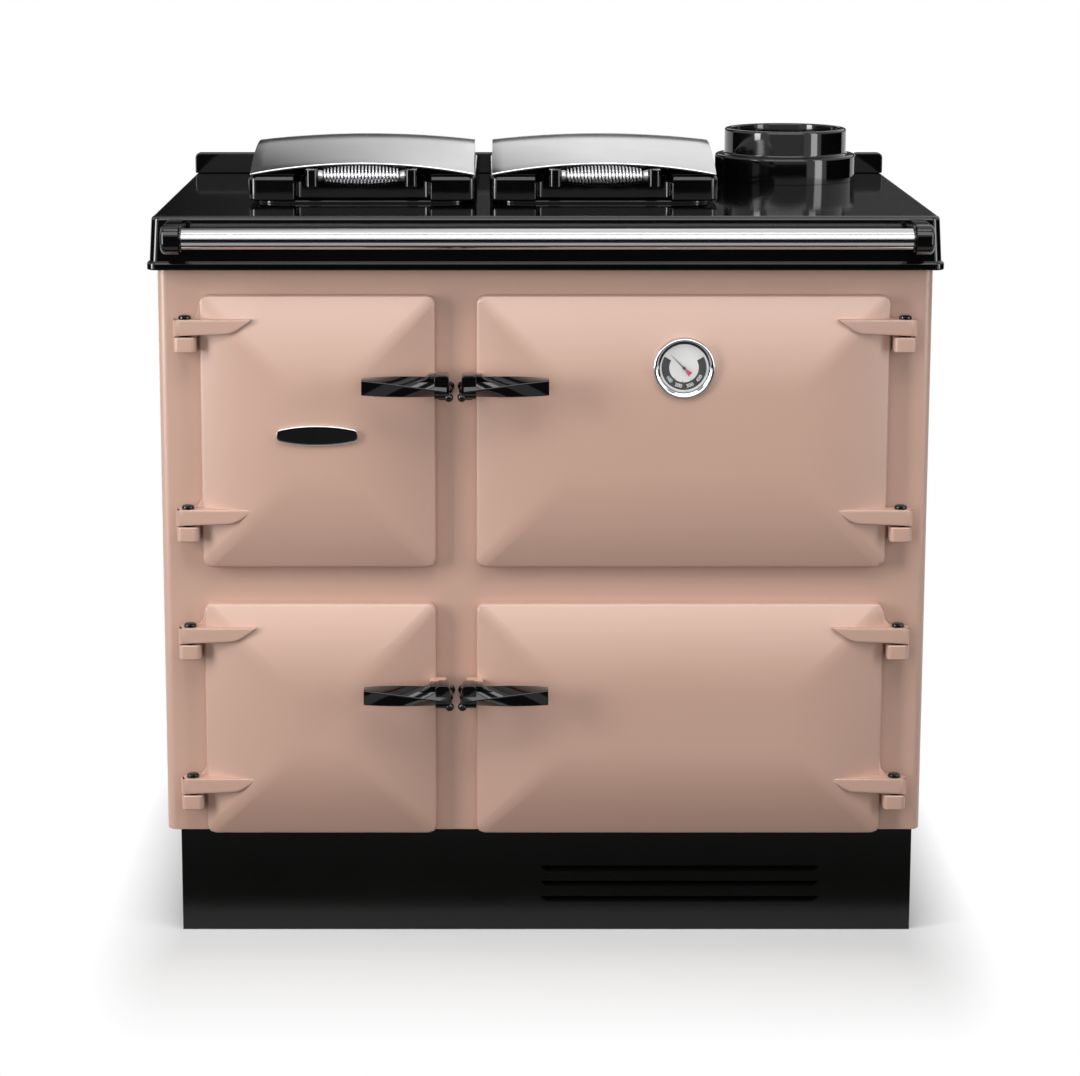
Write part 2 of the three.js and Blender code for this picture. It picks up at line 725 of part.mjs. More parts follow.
// The firebox: a grate cast in its floor and an outlet for the flue gas in its top.
function firebox(room) {
  let body = openBox(room, fireboxWall);
  const pitch = (room.x1 - room.x0 - 2 * fireboxWall) / grateSlots;
  const [front, back] = [room.y0 + grateMargin, room.y1 - grateMargin];
  for (let i = 0; i < grateSlots; i += 1) {
    const x = room.x0 + fireboxWall + (i + 0.5) * pitch;
    const [x0, x1] = [x - grateSlot / 2, x + grateSlot / 2];
    body = body.subtract(box(x0, x1, front, back, room.z0 - past, room.z0 + fireboxWall + past));
  }
  const middle = (room.x0 + room.x1) / 2;
  const [x0, x1] = [middle - flueHole / 2, middle + flueHole / 2];
  const outlet = box(x0, x1, back - flueHole / 2, back, room.z1 - fireboxWall - past, room.z1 + past);
  return body.subtract(outlet);
}

const [fireRoom, mainRoom, lowerLeftRoom, lowerRightRoom] = doorPlans.map(chamber);
add(cooker, 'firebox', firebox(fireRoom), castIron);
add(cooker, 'main_oven', oven(mainRoom), castIron);
add(cooker, 'lower_compartment', openBox(lowerLeftRoom, ovenWall), castIron);
add(cooker, 'lower_oven', oven(lowerRightRoom), castIron);
add(cooker, 'main_oven_shelf', wireShelf(mainRoom), bareSteel);
add(cooker, 'lower_oven_shelf', wireShelf(lowerRightRoom), bareSteel);

// ---- Doors --------------------------------------------------------------------------------------
// Doors are drawn with the hinge on the left: x from its axis, y as on the hob, z from the bottom edge.
// Those hinged on the right are the same drawing on the other hand.
const doorBack = doorRim + doorEdge;
const slopeAt = (inset, reach) => doorRise * (1 - (1 - Math.min(inset / reach, 1)) ** 2);

// A raised cushion of a door, shrunk from the edge by a wall and sunk behind the front by a shell.
function pillow(width, height, wall, sink, back) {
  const reach = Math.min(doorReach, Math.min(width, height) / 2 - doorCorner);
  const ringAt = (inset, y) => {
    const round = Math.max(doorCorner - inset, 0);
    const points = ring(pinOffset + inset, pinOffset + width - inset, inset, height - inset, round);
    return points.map(([x, z]) => [x, y, z]);
  };
  const slopes = slopeShares.map((share) => {
    const inset = wall + share * (reach - wall);
    return ringAt(inset, doorRim - slopeAt(inset, reach) + sink);
  });
  return solid(loft([ringAt(wall, back), ...slopes]));
}

// A hinge arm: rounded at the axis, running under the cushion's front, with its underside rising to the tip.
function hingeArm(bearing) {
  const [front, back] = [pinDepth - armFront, pinDepth + armBack];
  const plan = panel(-armRound, armLength, front, back, [hingeCorner, 0, 0, hingeCorner]);
  const top = bearing + armHeight;
  const tip = bearing + armTaper;
  const under = [[-armRound, bearing], [0, bearing], [armLength, tip]];
  const face = polygon([...under, [armLength, top], [-armRound, top]]);
  return prism('z', plan, bearing, top).intersect(prism('y', face, front - past, back + past));
}

const doorParts = (plan) => {
  const width = plan.outer - plan.inner;
  const height = plan.high - plan.low;
  const hub = pinOffset + width + hubBeyond;
  const barHigh = height - handleHigh;
  return { width, height, hub, barHigh, pivot: hub - earShift, pivotHigh: barHigh + spindleRise };
};

// The door casting, hollow behind, with its hinge arms and the ear that carries the handle.
function doorCasting(plan, dial) {
  const { width, height, pivot, pivotHigh } = doorParts(plan);
  const outer = pillow(width, height, 0, 0, doorBack);
  let body = outer.subtract(pillow(width, height, doorRimWall, doorShell, doorBack + past));
  const earLow = pivotHigh - earHeight / 2;
  const earStart = pinOffset + width - doorRimWall;
  body = body.add(box(earStart, pivot + earHalf, earFront, earBack, earLow, earLow + earHeight));
  body = body.subtract(bar('y', pivot, pivotHigh, spindleRadius + bore, earFront - past, earBack + past));
  for (const bearing of bearings(plan)) {
    body = body.add(hingeArm(bearing));
    const [low, high] = [bearing - past, bearing + armHeight + past];
    body = body.subtract(bar('z', 0, pinDepth, pinRadius + bore, low, high));
  }
  if (!dial) return body;
  const { x, z } = dial;
  const [front, back] = [doorRim - doorRise - past, dialBack + dialBoss];
  const boss = bar('y', x, z, dialRadius + dialBoss, front, back, railSides);
  const hole = bar('y', x, z, dialRadius + fit, hubFront, dialBack, ringSides);
  return body.add(boss.intersect(outer)).subtract(hole);
}

// The pan that closes a door's back and stands into the opening.
function doorLiner(plan) {
  const { width, height } = doorParts(plan);
  const edge = doorRimWall + fit;
  const plug = apertureLap + linerGap;
  const back = doorBack - fit;
  const end = bodyFront + linerPlug;
  const [x0, x1] = [pinOffset, pinOffset + width];
  const layer = (inset, y0, y1) => box(x0 + inset, x1 - inset, y0, y1, inset, height - inset);
  const flange = layer(edge, back - linerFlange, back);
  const hollow = layer(plug + linerWall, back - linerFlange - past, end - linerWall);
  return flange.add(layer(plug, back - past, end)).subtract(hollow);
}

// A square bar, twisted from its free end to the hub.
function twistedBar(hub, high) {
  const half = barSide / 2;
  const end = hub - barEnd;
  const rings = [];
  for (let i = 0; i <= barSteps; i += 1) {
    const share = i / barSteps;
    const angle = THREE.MathUtils.degToRad(barTilt + barTwist * share);
    const x = end + (barEnd - hubEntry) * share;
    const section = ring(-half, half, -half, half, barChamfer, 1);
    rings.push(section.map(([u, v]) => [
      x,
      barDepth + u * Math.cos(angle) - v * Math.sin(angle),
      high + u * Math.sin(angle) + v * Math.cos(angle),
    ]));
  }
  return solid(loft(rings));
}

// The lever: bar, hub, spindle and the claw that hooks under the keep.
function doorHandle(plan) {
  const { hub, barHigh, pivot, pivotHigh } = doorParts(plan);
  const [low, high] = [barHigh - hubLow - hubHeight / 2, barHigh - hubLow + hubHeight / 2];
  const block = panel(hub - hubWidth / 2, hub + hubWidth / 2, low, high, hubCorner);
  const clawTop = barHigh - keepDrop - keepRadius - fit;
  const clawEnd = hub + keepReach + keepRadius;
  const claw = box(hub - hubEntry, clawEnd, clawFront, clawBack, clawTop - clawHeight, clawTop);
  const spindle = bar('y', pivot, pivotHigh, spindleRadius, hubBack - past, spindleTail);
  return prism('y', block, hubFront, hubBack).add(twistedBar(hub, barHigh)).add(spindle).add(claw);
}

// The stud on the front casting that the claw hooks under.
function latchKeep(plan) {
  const { hub, barHigh } = doorParts(plan);
  return bar('y', hub + keepReach, barHigh - keepDrop, keepRadius, keepFront, bodyFront - fit);
}

// A hinge pin with its washer and cap.
function hingePin(bearing) {
  const washerTop = bearing - fit;
  const tail = washerTop - pinCollar - fit - pinTail;
  const top = bearing + armHeight + fit;
  const shank = bar('z', 0, pinDepth, pinRadius, tail, top + past);
  const washer = bar('z', 0, pinDepth, pinCapRadius, washerTop - pinCollar, washerTop);
  return shank.add(washer).add(bar('z', 0, pinDepth, pinCapRadius, top, top + pinCap));
}

function dialPlace(plan) {
  const { width, height } = doorParts(plan);
  return { x: pinOffset + width / 2, z: height - dialHigh };
}

function buildDoor(plan) {
  const { name, side, low } = plan;
  const withDial = name === 'upper_right';
  const axis = side > 0 ? axisLeft : axisRight;
  const fixed = place(cooker, axis, 0, low);
  const door = place(cooker, axis, 0, low);
  add(door, `door_${name}`, doorCasting(plan, withDial ? dialPlace(plan) : null), creamEnamel, side);
  add(door, `door_liner_${name}`, doorLiner(plan), castIron, side);
  add(door, `door_handle_${name}`, doorHandle(plan), blackEnamel, side);
  add(fixed, `latch_keep_${name}`, latchKeep(plan), blackEnamel, side);
  bearings(plan).forEach((bearing, i) => {
    add(fixed, `hinge_pin_${name}_${i ? 'bottom' : 'top'}`, hingePin(bearing), blackEnamel);
  });
  return door;
}

const doors = Object.fromEntries(doorPlans.map((plan) => [plan.name, buildDoor(plan)]));

// ---- Thermometer and badge ----------------------------------------------------------------------
const disc = (radius, front, back) => bar('y', 0, 0, radius, front, back, ringSides);

// A case let into the door, with a lip over the glass and a ledge under the plate.
function dialBezel() {
  const back = dialBack - fit;
  const ledge = dialPlateDepth + fit;
  const lipBack = dialFront + dialLipWall;
  return disc(dialRadius, dialFront, back)
    .subtract(disc(dialRadius - dialLip, dialFront - past, lipBack + past))
    .subtract(disc(dialRadius - dialWall, lipBack, ledge))
    .subtract(disc(dialRadius - 2 * dialWall, ledge - past, back - dialWall));
}

const discRadius = dialRadius - dialWall - fit;

function dialFace() {
  const front = dialPlateDepth - dialPlate;
  const stud = bar('y', 0, 0, needleStud, needleDepth - needleThick - fit, front + past, studSides);
  return disc(discRadius, front, dialPlateDepth).add(stud);
}

// A thin pointer with a broad tail, which outweighs it and holds it at the low end of the scale.
function dialNeedle() {
  const half = needleHub / 2;
  const angle = THREE.MathUtils.degToRad(needleAngle);
  const tail = -needleTail;
  const outline = [[tail, -needleHub], [0, -half / 2], [needleLength, 0], [0, half / 2], [tail, needleHub]];
  const turned = outline.map(([u, v]) => [
    u * Math.cos(angle) - v * Math.sin(angle),
    u * Math.sin(angle) + v * Math.cos(angle),
  ]);
  const front = needleDepth - needleThick;
  return prism('y', polygon(turned), front, needleDepth)
    .add(bar('y', 0, 0, needleHub, front, needleDepth, gripSides))
    .subtract(bar('y', 0, 0, needleStud + bore, front - past, needleDepth + past, studSides));
}

const [upperLeft, upperRight] = doorPlans;
const dialCentre = dialPlace(upperRight);
const dial = place(doors.upper_right, -dialCentre.x, 0, dialCentre.z);
const glassFront = dialFront + dialLipWall + fit;
add(dial, 'dial_bezel', dialBezel(), brightSteel);
add(dial, 'dial_face', dialFace(), dialPaint);
add(dial, 'dial_needle', dialNeedle(), blackEnamel);
add(dial, 'dial_glass', disc(discRadius, glassFront, glassFront + dialGlass), glassClear);

const badgeSurface = doorRim - doorRise - fit;
const [badgeHalf, badgeHigh] = [badgeWidth / 2, badgeHeight / 2];
const badgeOutline = panel(-badgeHalf, badgeHalf, -badgeHigh, badgeHigh, badgeHigh - fit);
const badgeSize = doorParts(upperLeft);
const badge = place(doors.upper_left, pinOffset + badgeSize.width / 2, 0, badgeSize.height - badgeBelow);
const badgeSolid = prism('y', badgeOutline, badgeSurface - badgeThick, badgeSurface, badgeSteps);
add(badge, 'badge_plate', badgeSolid, blackEnamel);

// ---- Lids ---------------------------------------------------------------------------------------
// Lids are drawn with x from their own middle, y as on the hob and z from the floor.
const lidBottom = hobTop + lidLift;

// The dome's outer surface: an arch along the front edge that eases as the crown rises behind it.
function domeHeight(x, y) {
  const arch = 1 - (x / (lidWidth / 2)) ** 2;
  const crown = 1 - ((y - lidMiddleDepth) / (lidDepth / 2)) ** 2;
  return domeEdge + domeArch * arch * (1 - domeEase * crown) + domeCrown * crown;
}

// A block with the dome's surface as its top, lowered by a given drop.
function domed(half, y0, y1, low, drop) {
  const rings = [];
  const across = 8;
  const along = 6;
  for (let i = 0; i <= across; i += 1) {
    const x = -half + 2 * half * i / across;
    const section = [[x, y0, low], [x, y1, low]];
    for (let j = 0; j <= along; j += 1) {
      const y = y1 + (y0 - y1) * j / along;
      section.push([x, y, domeHeight(x, y) - drop]);
    }
    rings.push(section);
  }
  return solid(loft(rings));
}

// The lid's casting: a base block with a recess for the grip, a crowned core under the dome, two posts and
// the hinge ears.
function lidBody() {
  const half = lidWidth / 2;
  const back = lidFront + lidDepth;
  const inset = domeSheet + 2 * fit;
  const under = domeSheet + fit;
  const ceiling = lidBaseTop + domeArch + domeCrown;
  const block = (x, y0, y1, radii, z0, z1) => prism('z', panel(-x, x, y0, y1, radii), z0, z1);
  const coreStart = lidFront + domeStep;
  const coreCorners = [0, 0, lidCorner, lidCorner];
  const core = block(half - inset, coreStart, back - inset, coreCorners, lidBaseTop - past, ceiling)
    .intersect(domed(half, lidFront, back, lidBottom, under));
  const pocketHalf = half - lidPocketEdge;
  const recessBack = lidFront + recessDepth;
  const pocketFront = recessBack + lidSkin;
  const corners = [lidFrontCorner, lidFrontCorner, lidCorner, lidCorner];
  let body = block(half, lidFront, back, corners, lidBottom, lidBaseTop)
    .add(core)
    .subtract(box(-recessHalf, recessHalf, lidFront - past, recessBack, lidBottom - past, ceiling))
    .subtract(domed(pocketHalf, pocketFront, back - lidPocketEdge, lidBottom - past, under + lidSkin));
  for (const hand of [-1, 1]) {
    const span = (a, b) => [hand * a, hand * b].sort((p, q) => p - q);
    const [p0, p1] = span(postInner, postOuter);
    const [e0, e1] = span(lidEarInner, lidEarOuter);
    const [s0, s1] = span(postInner - past, postInner + rodSeat + fit);
    const postPlan = panel(p0, p1, postFront, recessBack + past, [postRound, postRound, 0, 0]);
    body = body.add(prism('z', postPlan, postLow, postTop));
    body = body.subtract(bar('x', gripDepth, gripHigh, rodRadius + fit, s0, s1, gripSides));
    const [earLow, earHigh] = [lidAxisHigh - lugRadius, lidAxisHigh + lugRadius];
    body = body.add(box(e0, e1, back - past, lidAxisDepth, earLow, earHigh));
    body = body.add(bar('x', lidAxisDepth, lidAxisHigh, lugRadius, e0, e1));
    body = body.subtract(bar('x', lidAxisDepth, lidAxisHigh, lidPinRadius + bore, e0 - past, e1 + past));
  }
  return body;
}

// The bright sheet dome, open in front and below.
function lidDome() {
  const half = lidWidth / 2;
  const back = lidFront + lidDepth;
  const low = lidBaseTop + fit;
  const ceiling = lidBaseTop + 2 * (domeArch + domeCrown);
  const round = lidCorner + 2 * fit;
  const corners = [domeFrontCorner, domeFrontCorner, round + domeSheet, round + domeSheet];
  const outer = prism('z', panel(-half, half, lidFront, back, corners), low, ceiling);
  const innerHalf = half - domeSheet;
  const hollow = panel(-innerHalf, innerHalf, lidFront - past, back - domeSheet, [0, 0, round, round]);
  const inner = prism('z', hollow, low - past, ceiling)
    .intersect(domed(half + past, lidFront - 2 * past, back, low - 2 * past, domeSheet));
  const surface = domed(half + past, lidFront - past, back + past, low - 2 * past, 0);
  return outer.intersect(surface).subtract(inner);
}

// The grip's spring: a barrel of open turns, each end bent to run straight into a post.
function coilPath(half) {
  const step = 2 * Math.PI / coilSteps;
  const count = coilTurns * coilSteps;
  const wound = half - coilWire - coilLead;
  const path = [];
  for (let i = 0; i <= count; i += 1) {
    const share = i / count;
    const bulge = Math.sin(Math.PI * share) ** coilBarrel;
    const radius = coilEndRadius + (coilMiddleRadius - coilEndRadius) * bulge;
    path.push({ x: wound * (2 * share - 1), radius, angle: step * i });
  }
  // Each end eases out of the winding: the angle slows while the wire turns towards the post.
  const lead = (x, turned) => {
    path.push({ x, radius: coilEndRadius, angle: step * count + turned });
    path.unshift({ x: -x, radius: coilEndRadius, angle: -turned });
  };
  for (let i = 1; i <= coilBend; i += 1) {
    const share = i / coilBend;
    lead(wound + coilLead * share * share, step * coilTurned * (2 * share - share * share));
  }
  lead(half, step * coilTurned);
  return path.map(({ x, radius, angle }) => (
    new THREE.Vector3(x, radius * Math.cos(angle), radius * Math.sin(angle))
  ));
}

// A five-sided wire along the path, its first side always facing away from the grip's axis.
function gripCoil() {
  const path = coilPath(postInner - fit);
  const rings = path.map((point, i) => {
    const before = path[Math.max(i - 1, 0)];
    const after = path[Math.min(i + 1, path.length - 1)];
    const tangent = new THREE.Vector3().subVectors(after, before).normalize();
    const outward = new THREE.Vector3(0, point.y, point.z).normalize();
    outward.addScaledVector(tangent, -outward.dot(tangent)).normalize();
    const across = new THREE.Vector3().crossVectors(tangent, outward);
    return Array.from({ length: coilSides }, (_, k) => {
      const angle = 2 * Math.PI * k / coilSides;
      const corner = point.clone().addScaledVector(outward, coilWire / 2 * Math.cos(angle));
      return corner.addScaledVector(across, coilWire / 2 * Math.sin(angle)).toArray();
    });
  });
  return loft(rings);
}

// The least distance between corners of the wire that are half a turn or more apart along it.
function leastGap(geometry, corners) {
  const position = geometry.getAttribute('position');
  const a = new THREE.Vector3();
  const b = new THREE.Vector3();
  let least = Infinity;
  for (let i = 0; i < position.count - 2; i += 1) {
    a.fromBufferAttribute(position, i);
    for (let j = i + corners; j < position.count - 2; j += 1) {
      least = Math.min(least, a.distanceTo(b.fromBufferAttribute(position, j)));
    }
  }
  return least;
}

const coil = gripCoil();
console.log(`grip coil: least gap to itself ${leastGap(coil, coilSides * coilSteps / 2).toFixed(2)} mm`);
coil.translate(0, gripDepth, gripHigh);

for (const { name, middle } of lidPlans) {
  const lid = place(cooker, middle, 0, 0);
  add(lid, `lid_body_${name}`, lidBody(), blackEnamel);
  add(lid, `lid_dome_${name}`, lidDome(), brightSteel);
  const rodHalf = postInner + rodSeat;
  const rod = bar('x', gripDepth, gripHigh, rodRadius, -rodHalf, rodHalf, studSides);
  add(lid, `grip_rod_${name}`, rod, bareSteel);
  add(lid, `grip_coil_${name}`, coil.clone(), brightSteel);
  const [pinStart, pinEnd] = [middle - lidPinHalf, middle + lidPinHalf];
  const hingePinSolid = bar('x', lidAxisDepth, lidAxisHigh, lidPinRadius, pinStart, pinEnd, gripSides);
  add(cooker, `lid_hinge_pin_${name}`, hingePinSolid, bareSteel);
}

export default group;
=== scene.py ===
# %% [markdown]
# # A cast iron range cooker
#
# The cooker is already there as a plain CAD frame, with its joints. This lesson gives it its looks: rounded enamel
# castings, steel domes, twisted levers and a small thermometer.

# %% Load the frame
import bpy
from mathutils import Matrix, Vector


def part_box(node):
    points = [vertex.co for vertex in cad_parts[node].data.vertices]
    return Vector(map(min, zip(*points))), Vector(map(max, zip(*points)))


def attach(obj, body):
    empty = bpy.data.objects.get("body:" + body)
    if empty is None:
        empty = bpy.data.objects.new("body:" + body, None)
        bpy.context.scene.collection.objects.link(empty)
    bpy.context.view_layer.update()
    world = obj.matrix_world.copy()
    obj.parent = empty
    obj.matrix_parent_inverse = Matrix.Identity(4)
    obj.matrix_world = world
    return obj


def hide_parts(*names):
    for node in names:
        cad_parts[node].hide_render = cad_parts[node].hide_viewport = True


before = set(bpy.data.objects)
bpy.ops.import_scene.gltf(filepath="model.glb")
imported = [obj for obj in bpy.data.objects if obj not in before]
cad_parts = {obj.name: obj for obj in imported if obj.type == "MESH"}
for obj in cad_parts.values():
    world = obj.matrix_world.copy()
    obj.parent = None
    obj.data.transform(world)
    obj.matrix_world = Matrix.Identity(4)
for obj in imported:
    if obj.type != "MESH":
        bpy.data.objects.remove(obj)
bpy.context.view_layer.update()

from math import cos, pi, radians, sin

import bpy
from mathutils import Vector

scene = bpy.context.scene
scene.view_settings.view_transform = "Standard"

# %% [markdown]
# ## Measuring as the maker does
#
# A cooker is measured in millimetres, with depths taken back from the front edge of its hob. Blender works in metres.
# Two small functions turn the maker's numbers into places and back, so every size below can be read off a drawing.

# %% Places in millimetres
mm = 0.001
hob_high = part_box("hob_plate")[1]
hob_depth = 600
front_y = hob_high.y - hob_depth * mm


def at(x, depth, height):
    return Vector((x * mm, front_y + depth * mm, height * mm))


def measured(point):
    return point.x / mm, (point.y - front_y) / mm, point.z / mm


print("the hob's front edge is at y =", round(front_y, 4), "m")

# %% [markdown]
# ## The camera
#
# The picture is taken from 3.6 m in front of the hob and a little above it, with a long lens that was shifted to keep
# the uprights parallel. Here the camera mostly tilts down instead, because a large shift would push the cooker out of
# every other view.

# %% Set up the camera
TILT = 10.17  # degrees down

camera_data = bpy.data.cameras.new("camera")
camera = bpy.data.objects.new("camera", camera_data)
scene.collection.objects.link(camera)
camera.location = at(-64, -3610, 1323.5)
camera.rotation_euler = (radians(90 - TILT), 0, 0)
camera_data.sensor_width = 36
camera_data.lens = 98.7
camera_data.shift_x, camera_data.shift_y = 0.0431, -0.11
scene.camera = camera
print("camera at", [round(v, 3) for v in camera.location])

# %% [markdown]
# ## Floor, background and light
#
# The cooker stands on a pale studio floor that runs out into white. The floor could be lit until it is white, but then
# the enamel would bleach too. So the floor keeps its pale, lit colour in a patch round the cooker that is shaped like
# its shadow, and turns into white with distance for the camera and for reflections: the patch is painted shade, and the
# cooker's real shadow falls inside it. It throws no light back, because the doors get darker towards their feet. The
# four lamps are large and soft. Boards that only gloss sees stand round the cooker: dark ones keep the black enamel
# black, and pale ones draw its bright edges.

# %% Small helpers for node trees
def tree_of(owner):
    owner.use_nodes = True
    owner.node_tree.nodes.clear()
    return owner.node_tree


def feed(tree, socket, value):
    """Links a socket to another node's output, or gives it a plain value."""
    if isinstance(value, bpy.types.NodeSocket):
        tree.links.new(value, socket)
    else:
        socket.default_value = value


def node(tree, kind, inputs={}, **settings):
    made = tree.nodes.new("ShaderNode" + kind)
    for key, value in settings.items():
        setattr(made, key, value)
    for key, value in inputs.items():
        feed(tree, made.inputs[key], value)
    return made


def spot(tree):
    return node(tree, "TexCoord").outputs["Object"]


def maths(tree, operation, *values):
    return node(tree, "Math", dict(enumerate(values)), operation=operation).outputs[0]


def times(tree, first, second):
    return maths(tree, "MULTIPLY", first, second)


def blend(tree, share, first, second):
    """A shader that goes from the first to the second as share goes from 0 to 1."""
    return node(tree, "MixShader", {0: share, 1: first.outputs[0], 2: second.outputs[0]})


def ranged(tree, value, low, high, start=0.0, end=1.0):
    """The span from start to end, mapped onto low to high."""
    return node(tree, "MapRange", dict(enumerate((value, start, end, low, high)))).outputs[0]


def mixed(tree, share, first, second):
    """A colour that goes from the first to the second."""
    return node(tree, "Mix", {"Factor": share, "A": (*first, 1), "B": (*second, 1)},
                data_type="RGBA").outputs["Result"]


def put_out(tree, shader, kind="Material"):
    node(tree, "Output" + kind, {"Surface": shader.outputs[0]})


def deselect():
    bpy.ops.object.select_all(action="DESELECT")


def seen_plainly(tree):
    """1 for rays from the camera, and for those that gloss and glass send on."""
    path = node(tree, "LightPath")
    gloss = maths(tree, "MAXIMUM", path.outputs["Is Glossy Ray"], path.outputs["Is Transmission Ray"])
    return maths(tree, "MAXIMUM", path.outputs["Is Camera Ray"], gloss)


# %% The world: white to look at, gentle as a light
WORLD_LIGHT = 0.05

world = bpy.data.worlds.new("studio")
scene.world = world
tree = tree_of(world)
lit, seen = (node(tree, "Background", {"Color": (1, 1, 1, 1), "Strength": strength}) for strength in (WORLD_LIGHT, 1))
put_out(tree, blend(tree, seen_plainly(tree), lit, seen), "World")
print("the world is ready")

# %% The floor
# The grey patch round the plinth is painted shade: near the plinth the floor keeps its lit pale colour, and further out
# it turns white.
PALE = 0.78  # the floor's own colour
FADE = 0.32  # it is white this far past the plinth, in metres
SIDE_FADE = 3  # it turns white so many times faster at the sides

deselect()
bpy.ops.mesh.primitive_circle_add(vertices=96, radius=14, fill_type="NGON")
floor = bpy.context.object
floor.name = "floor"
floor_paint = bpy.data.materials.new("floor_paint")
tree = tree_of(floor_paint)
parts = node(tree, "SeparateXYZ", {0: spot(tree)})


def past(axis, half, stretch):
    """How far a spot lies past the plinth along one axis, squared."""
    beyond = maths(tree, "SUBTRACT", maths(tree, "ABSOLUTE", parts.outputs[axis]), half)
    beyond = times(tree, maths(tree, "MAXIMUM", beyond, 0), stretch)
    return times(tree, beyond, beyond)


# This mask is 0 at the plinth and 1 at FADE past it, sooner at the sides; below 1 it leaves painted shade on the floor,
# round the real shadow.
reach = maths(tree, "SQRT", maths(tree, "ADD", past("X", 0.46, SIDE_FADE), past("Y", 0.29, 1)))
white = times(tree, ranged(tree, reach, 0, 1, 0, FADE), seen_plainly(tree))
pale = node(tree, "BsdfDiffuse", {"Color": (PALE, PALE, PALE, 1)})
bright, dark = (node(tree, "Emission", {"Strength": strength}) for strength in (1, 0))
bounce = node(tree, "LightPath").outputs["Is Diffuse Ray"]
put_out(tree, blend(tree, bounce, blend(tree, white, pale, bright), dark))
floor.data.materials.append(floor_paint)
print("the floor is", floor.dimensions.x, "m across")

# %% The lamps
AIM = Vector((0, 0, 0.6))  # the middle of the cooker


def softbox(name, place, width, height, power):
    data = bpy.data.lights.new(name, "AREA")
    data.shape = "RECTANGLE"
    data.size, data.size_y = width, height
    data.energy = power
    lamp = bpy.data.objects.new(name, data)
    scene.collection.objects.link(lamp)
    lamp.location = place
    lamp.rotation_euler = (AIM - Vector(place)).to_track_quat("-Z", "Y").to_euler()
    return lamp


softbox("overhead", (0, -1.8, 3.6), 3.4, 1.6, 72)
softbox("left_strip", (-3.0, -1.8, 1.5), 0.8, 2.4, 98)
softbox("right_strip", (3.0, -2.0, 1.5), 0.8, 2.4, 40)
fill = softbox("fill", (0, -4.4, 1.2), 3.4, 1.2, 41)
fill.visible_glossy = False  # it would draw a window on every black gloss face
print(len(bpy.data.lights), "lamps")

# %% The boards that only gloss sees
LEFT_END, RIGHT_END = -1.0, 0.1  # where an uneven board's brightness starts and stops changing, in metres


def board(name, corners, bright, left=None):
    """A board with one brightness, or one that goes from left to bright."""
    mesh = bpy.data.meshes.new(name)
    mesh.from_pydata(corners, [], [(0, 1, 2, 3)])
    made = bpy.data.objects.new(name, mesh)
    scene.collection.objects.link(made)
    made.visible_camera = made.visible_diffuse = made.visible_shadow = made.visible_transmission = False
    paint = bpy.data.materials.new(name)
    tree = tree_of(paint)
    strength = bright
    if left is not None:
        across = node(tree, "SeparateXYZ", {0: spot(tree)}).outputs["X"]
        strength = ranged(tree, across, left, bright, LEFT_END, RIGHT_END)
    put_out(tree, node(tree, "Emission", {"Strength": strength}))
    mesh.materials.append(paint)


def wide(half, y0, z0, y1, z1):
    """The corners of a board that runs from side to side, from one line to another."""
    return [(-half, y0, z0), (half, y0, z0), (half, y1, z1), (-half, y1, z1)]


LAID = 0.004  # boards on the floor lie just over it
for name, corners, *tones in (
        ("near", wide(3, -0.7, LAID, -0.3, LAID), 0.04),
        ("pale", wide(3, -1.6, LAID, -0.7, LAID), 0.55),
        ("far", wide(3, -6, LAID, -1.6, LAID), 0.02),
        ("front", wide(4, -6, 0, -6, 1.25), 0.0),
        ("grey", wide(4, -6, 1.25, -6, 2.6), 0.6),
        ("panel", wide(2.6, -3.6, 1.95, -3.0, 3.5), 3.4),
        ("dark", wide(2.6, -2.05, 3.1, -1.35, 3.1), 0.02),
        ("back", wide(3.2, 2.6, 1.02, 2.6, 1.5), 0.07, 0.0),
        ("sky", wide(3.2, 2.6, 1.5, 2.6, 6), 1.05, 0.1)):
    board("board_" + name, corners, *tones)
for name, x in (("left", -3.4), ("right", 3.4)):
    board("board_" + name, [(x, -1.2, 0.3), (x, 2.6, 0.3), (x, 2.6, 1.2), (x, -1.2, 1.2)], 0.0)
print("eleven boards")

# %% [markdown]
# ## Finishes
#
# Enamel is glass melted onto iron. It isn't perfectly flat: it ripples like the skin of an orange, and its colour is a
# little deeper where it lies thicker. One node group makes ripple and cloud for every enamel, each with its own scale
# and strength. The noise follows the object's own coordinates, so it stays on the casting when a door swings.

# %% A node group for skins that ripple and cloud


def skin_group():
    group = bpy.data.node_groups.new("rippled_skin", "ShaderNodeTree")
    sockets = group.interface
    for way, names in (("INPUT", ("Ripple size", "Cloud size", "Grain size", "Grain share")),
                       ("OUTPUT", ("Height", "Cloud", "Rub"))):
        for name in names:
            sockets.new_socket(name=name, in_out=way, socket_type="NodeSocketFloat")
    given = group.nodes.new("NodeGroupInput").outputs
    out = group.nodes.new("NodeGroupOutput").inputs
    place = spot(group)

    def noise(size, detail):
        scale = maths(group, "DIVIDE", 1, size)
        return node(group, "TexNoise", {"Detail": detail, "Vector": place, "Scale": scale}).outputs[0]

    fine = times(group, noise(given["Grain size"], 3), given["Grain share"])
    feed(group, out["Height"], maths(group, "ADD", noise(given["Ripple size"], 1), fine))
    feed(group, out["Cloud"], noise(given["Cloud size"], 2))
    feed(group, out["Rub"], noise(times(group, given["Cloud size"], 0.31), 4))
    return group


rippled_skin = skin_group()
print("group", rippled_skin.name, "is ready")

# %% A function that makes a finish from it


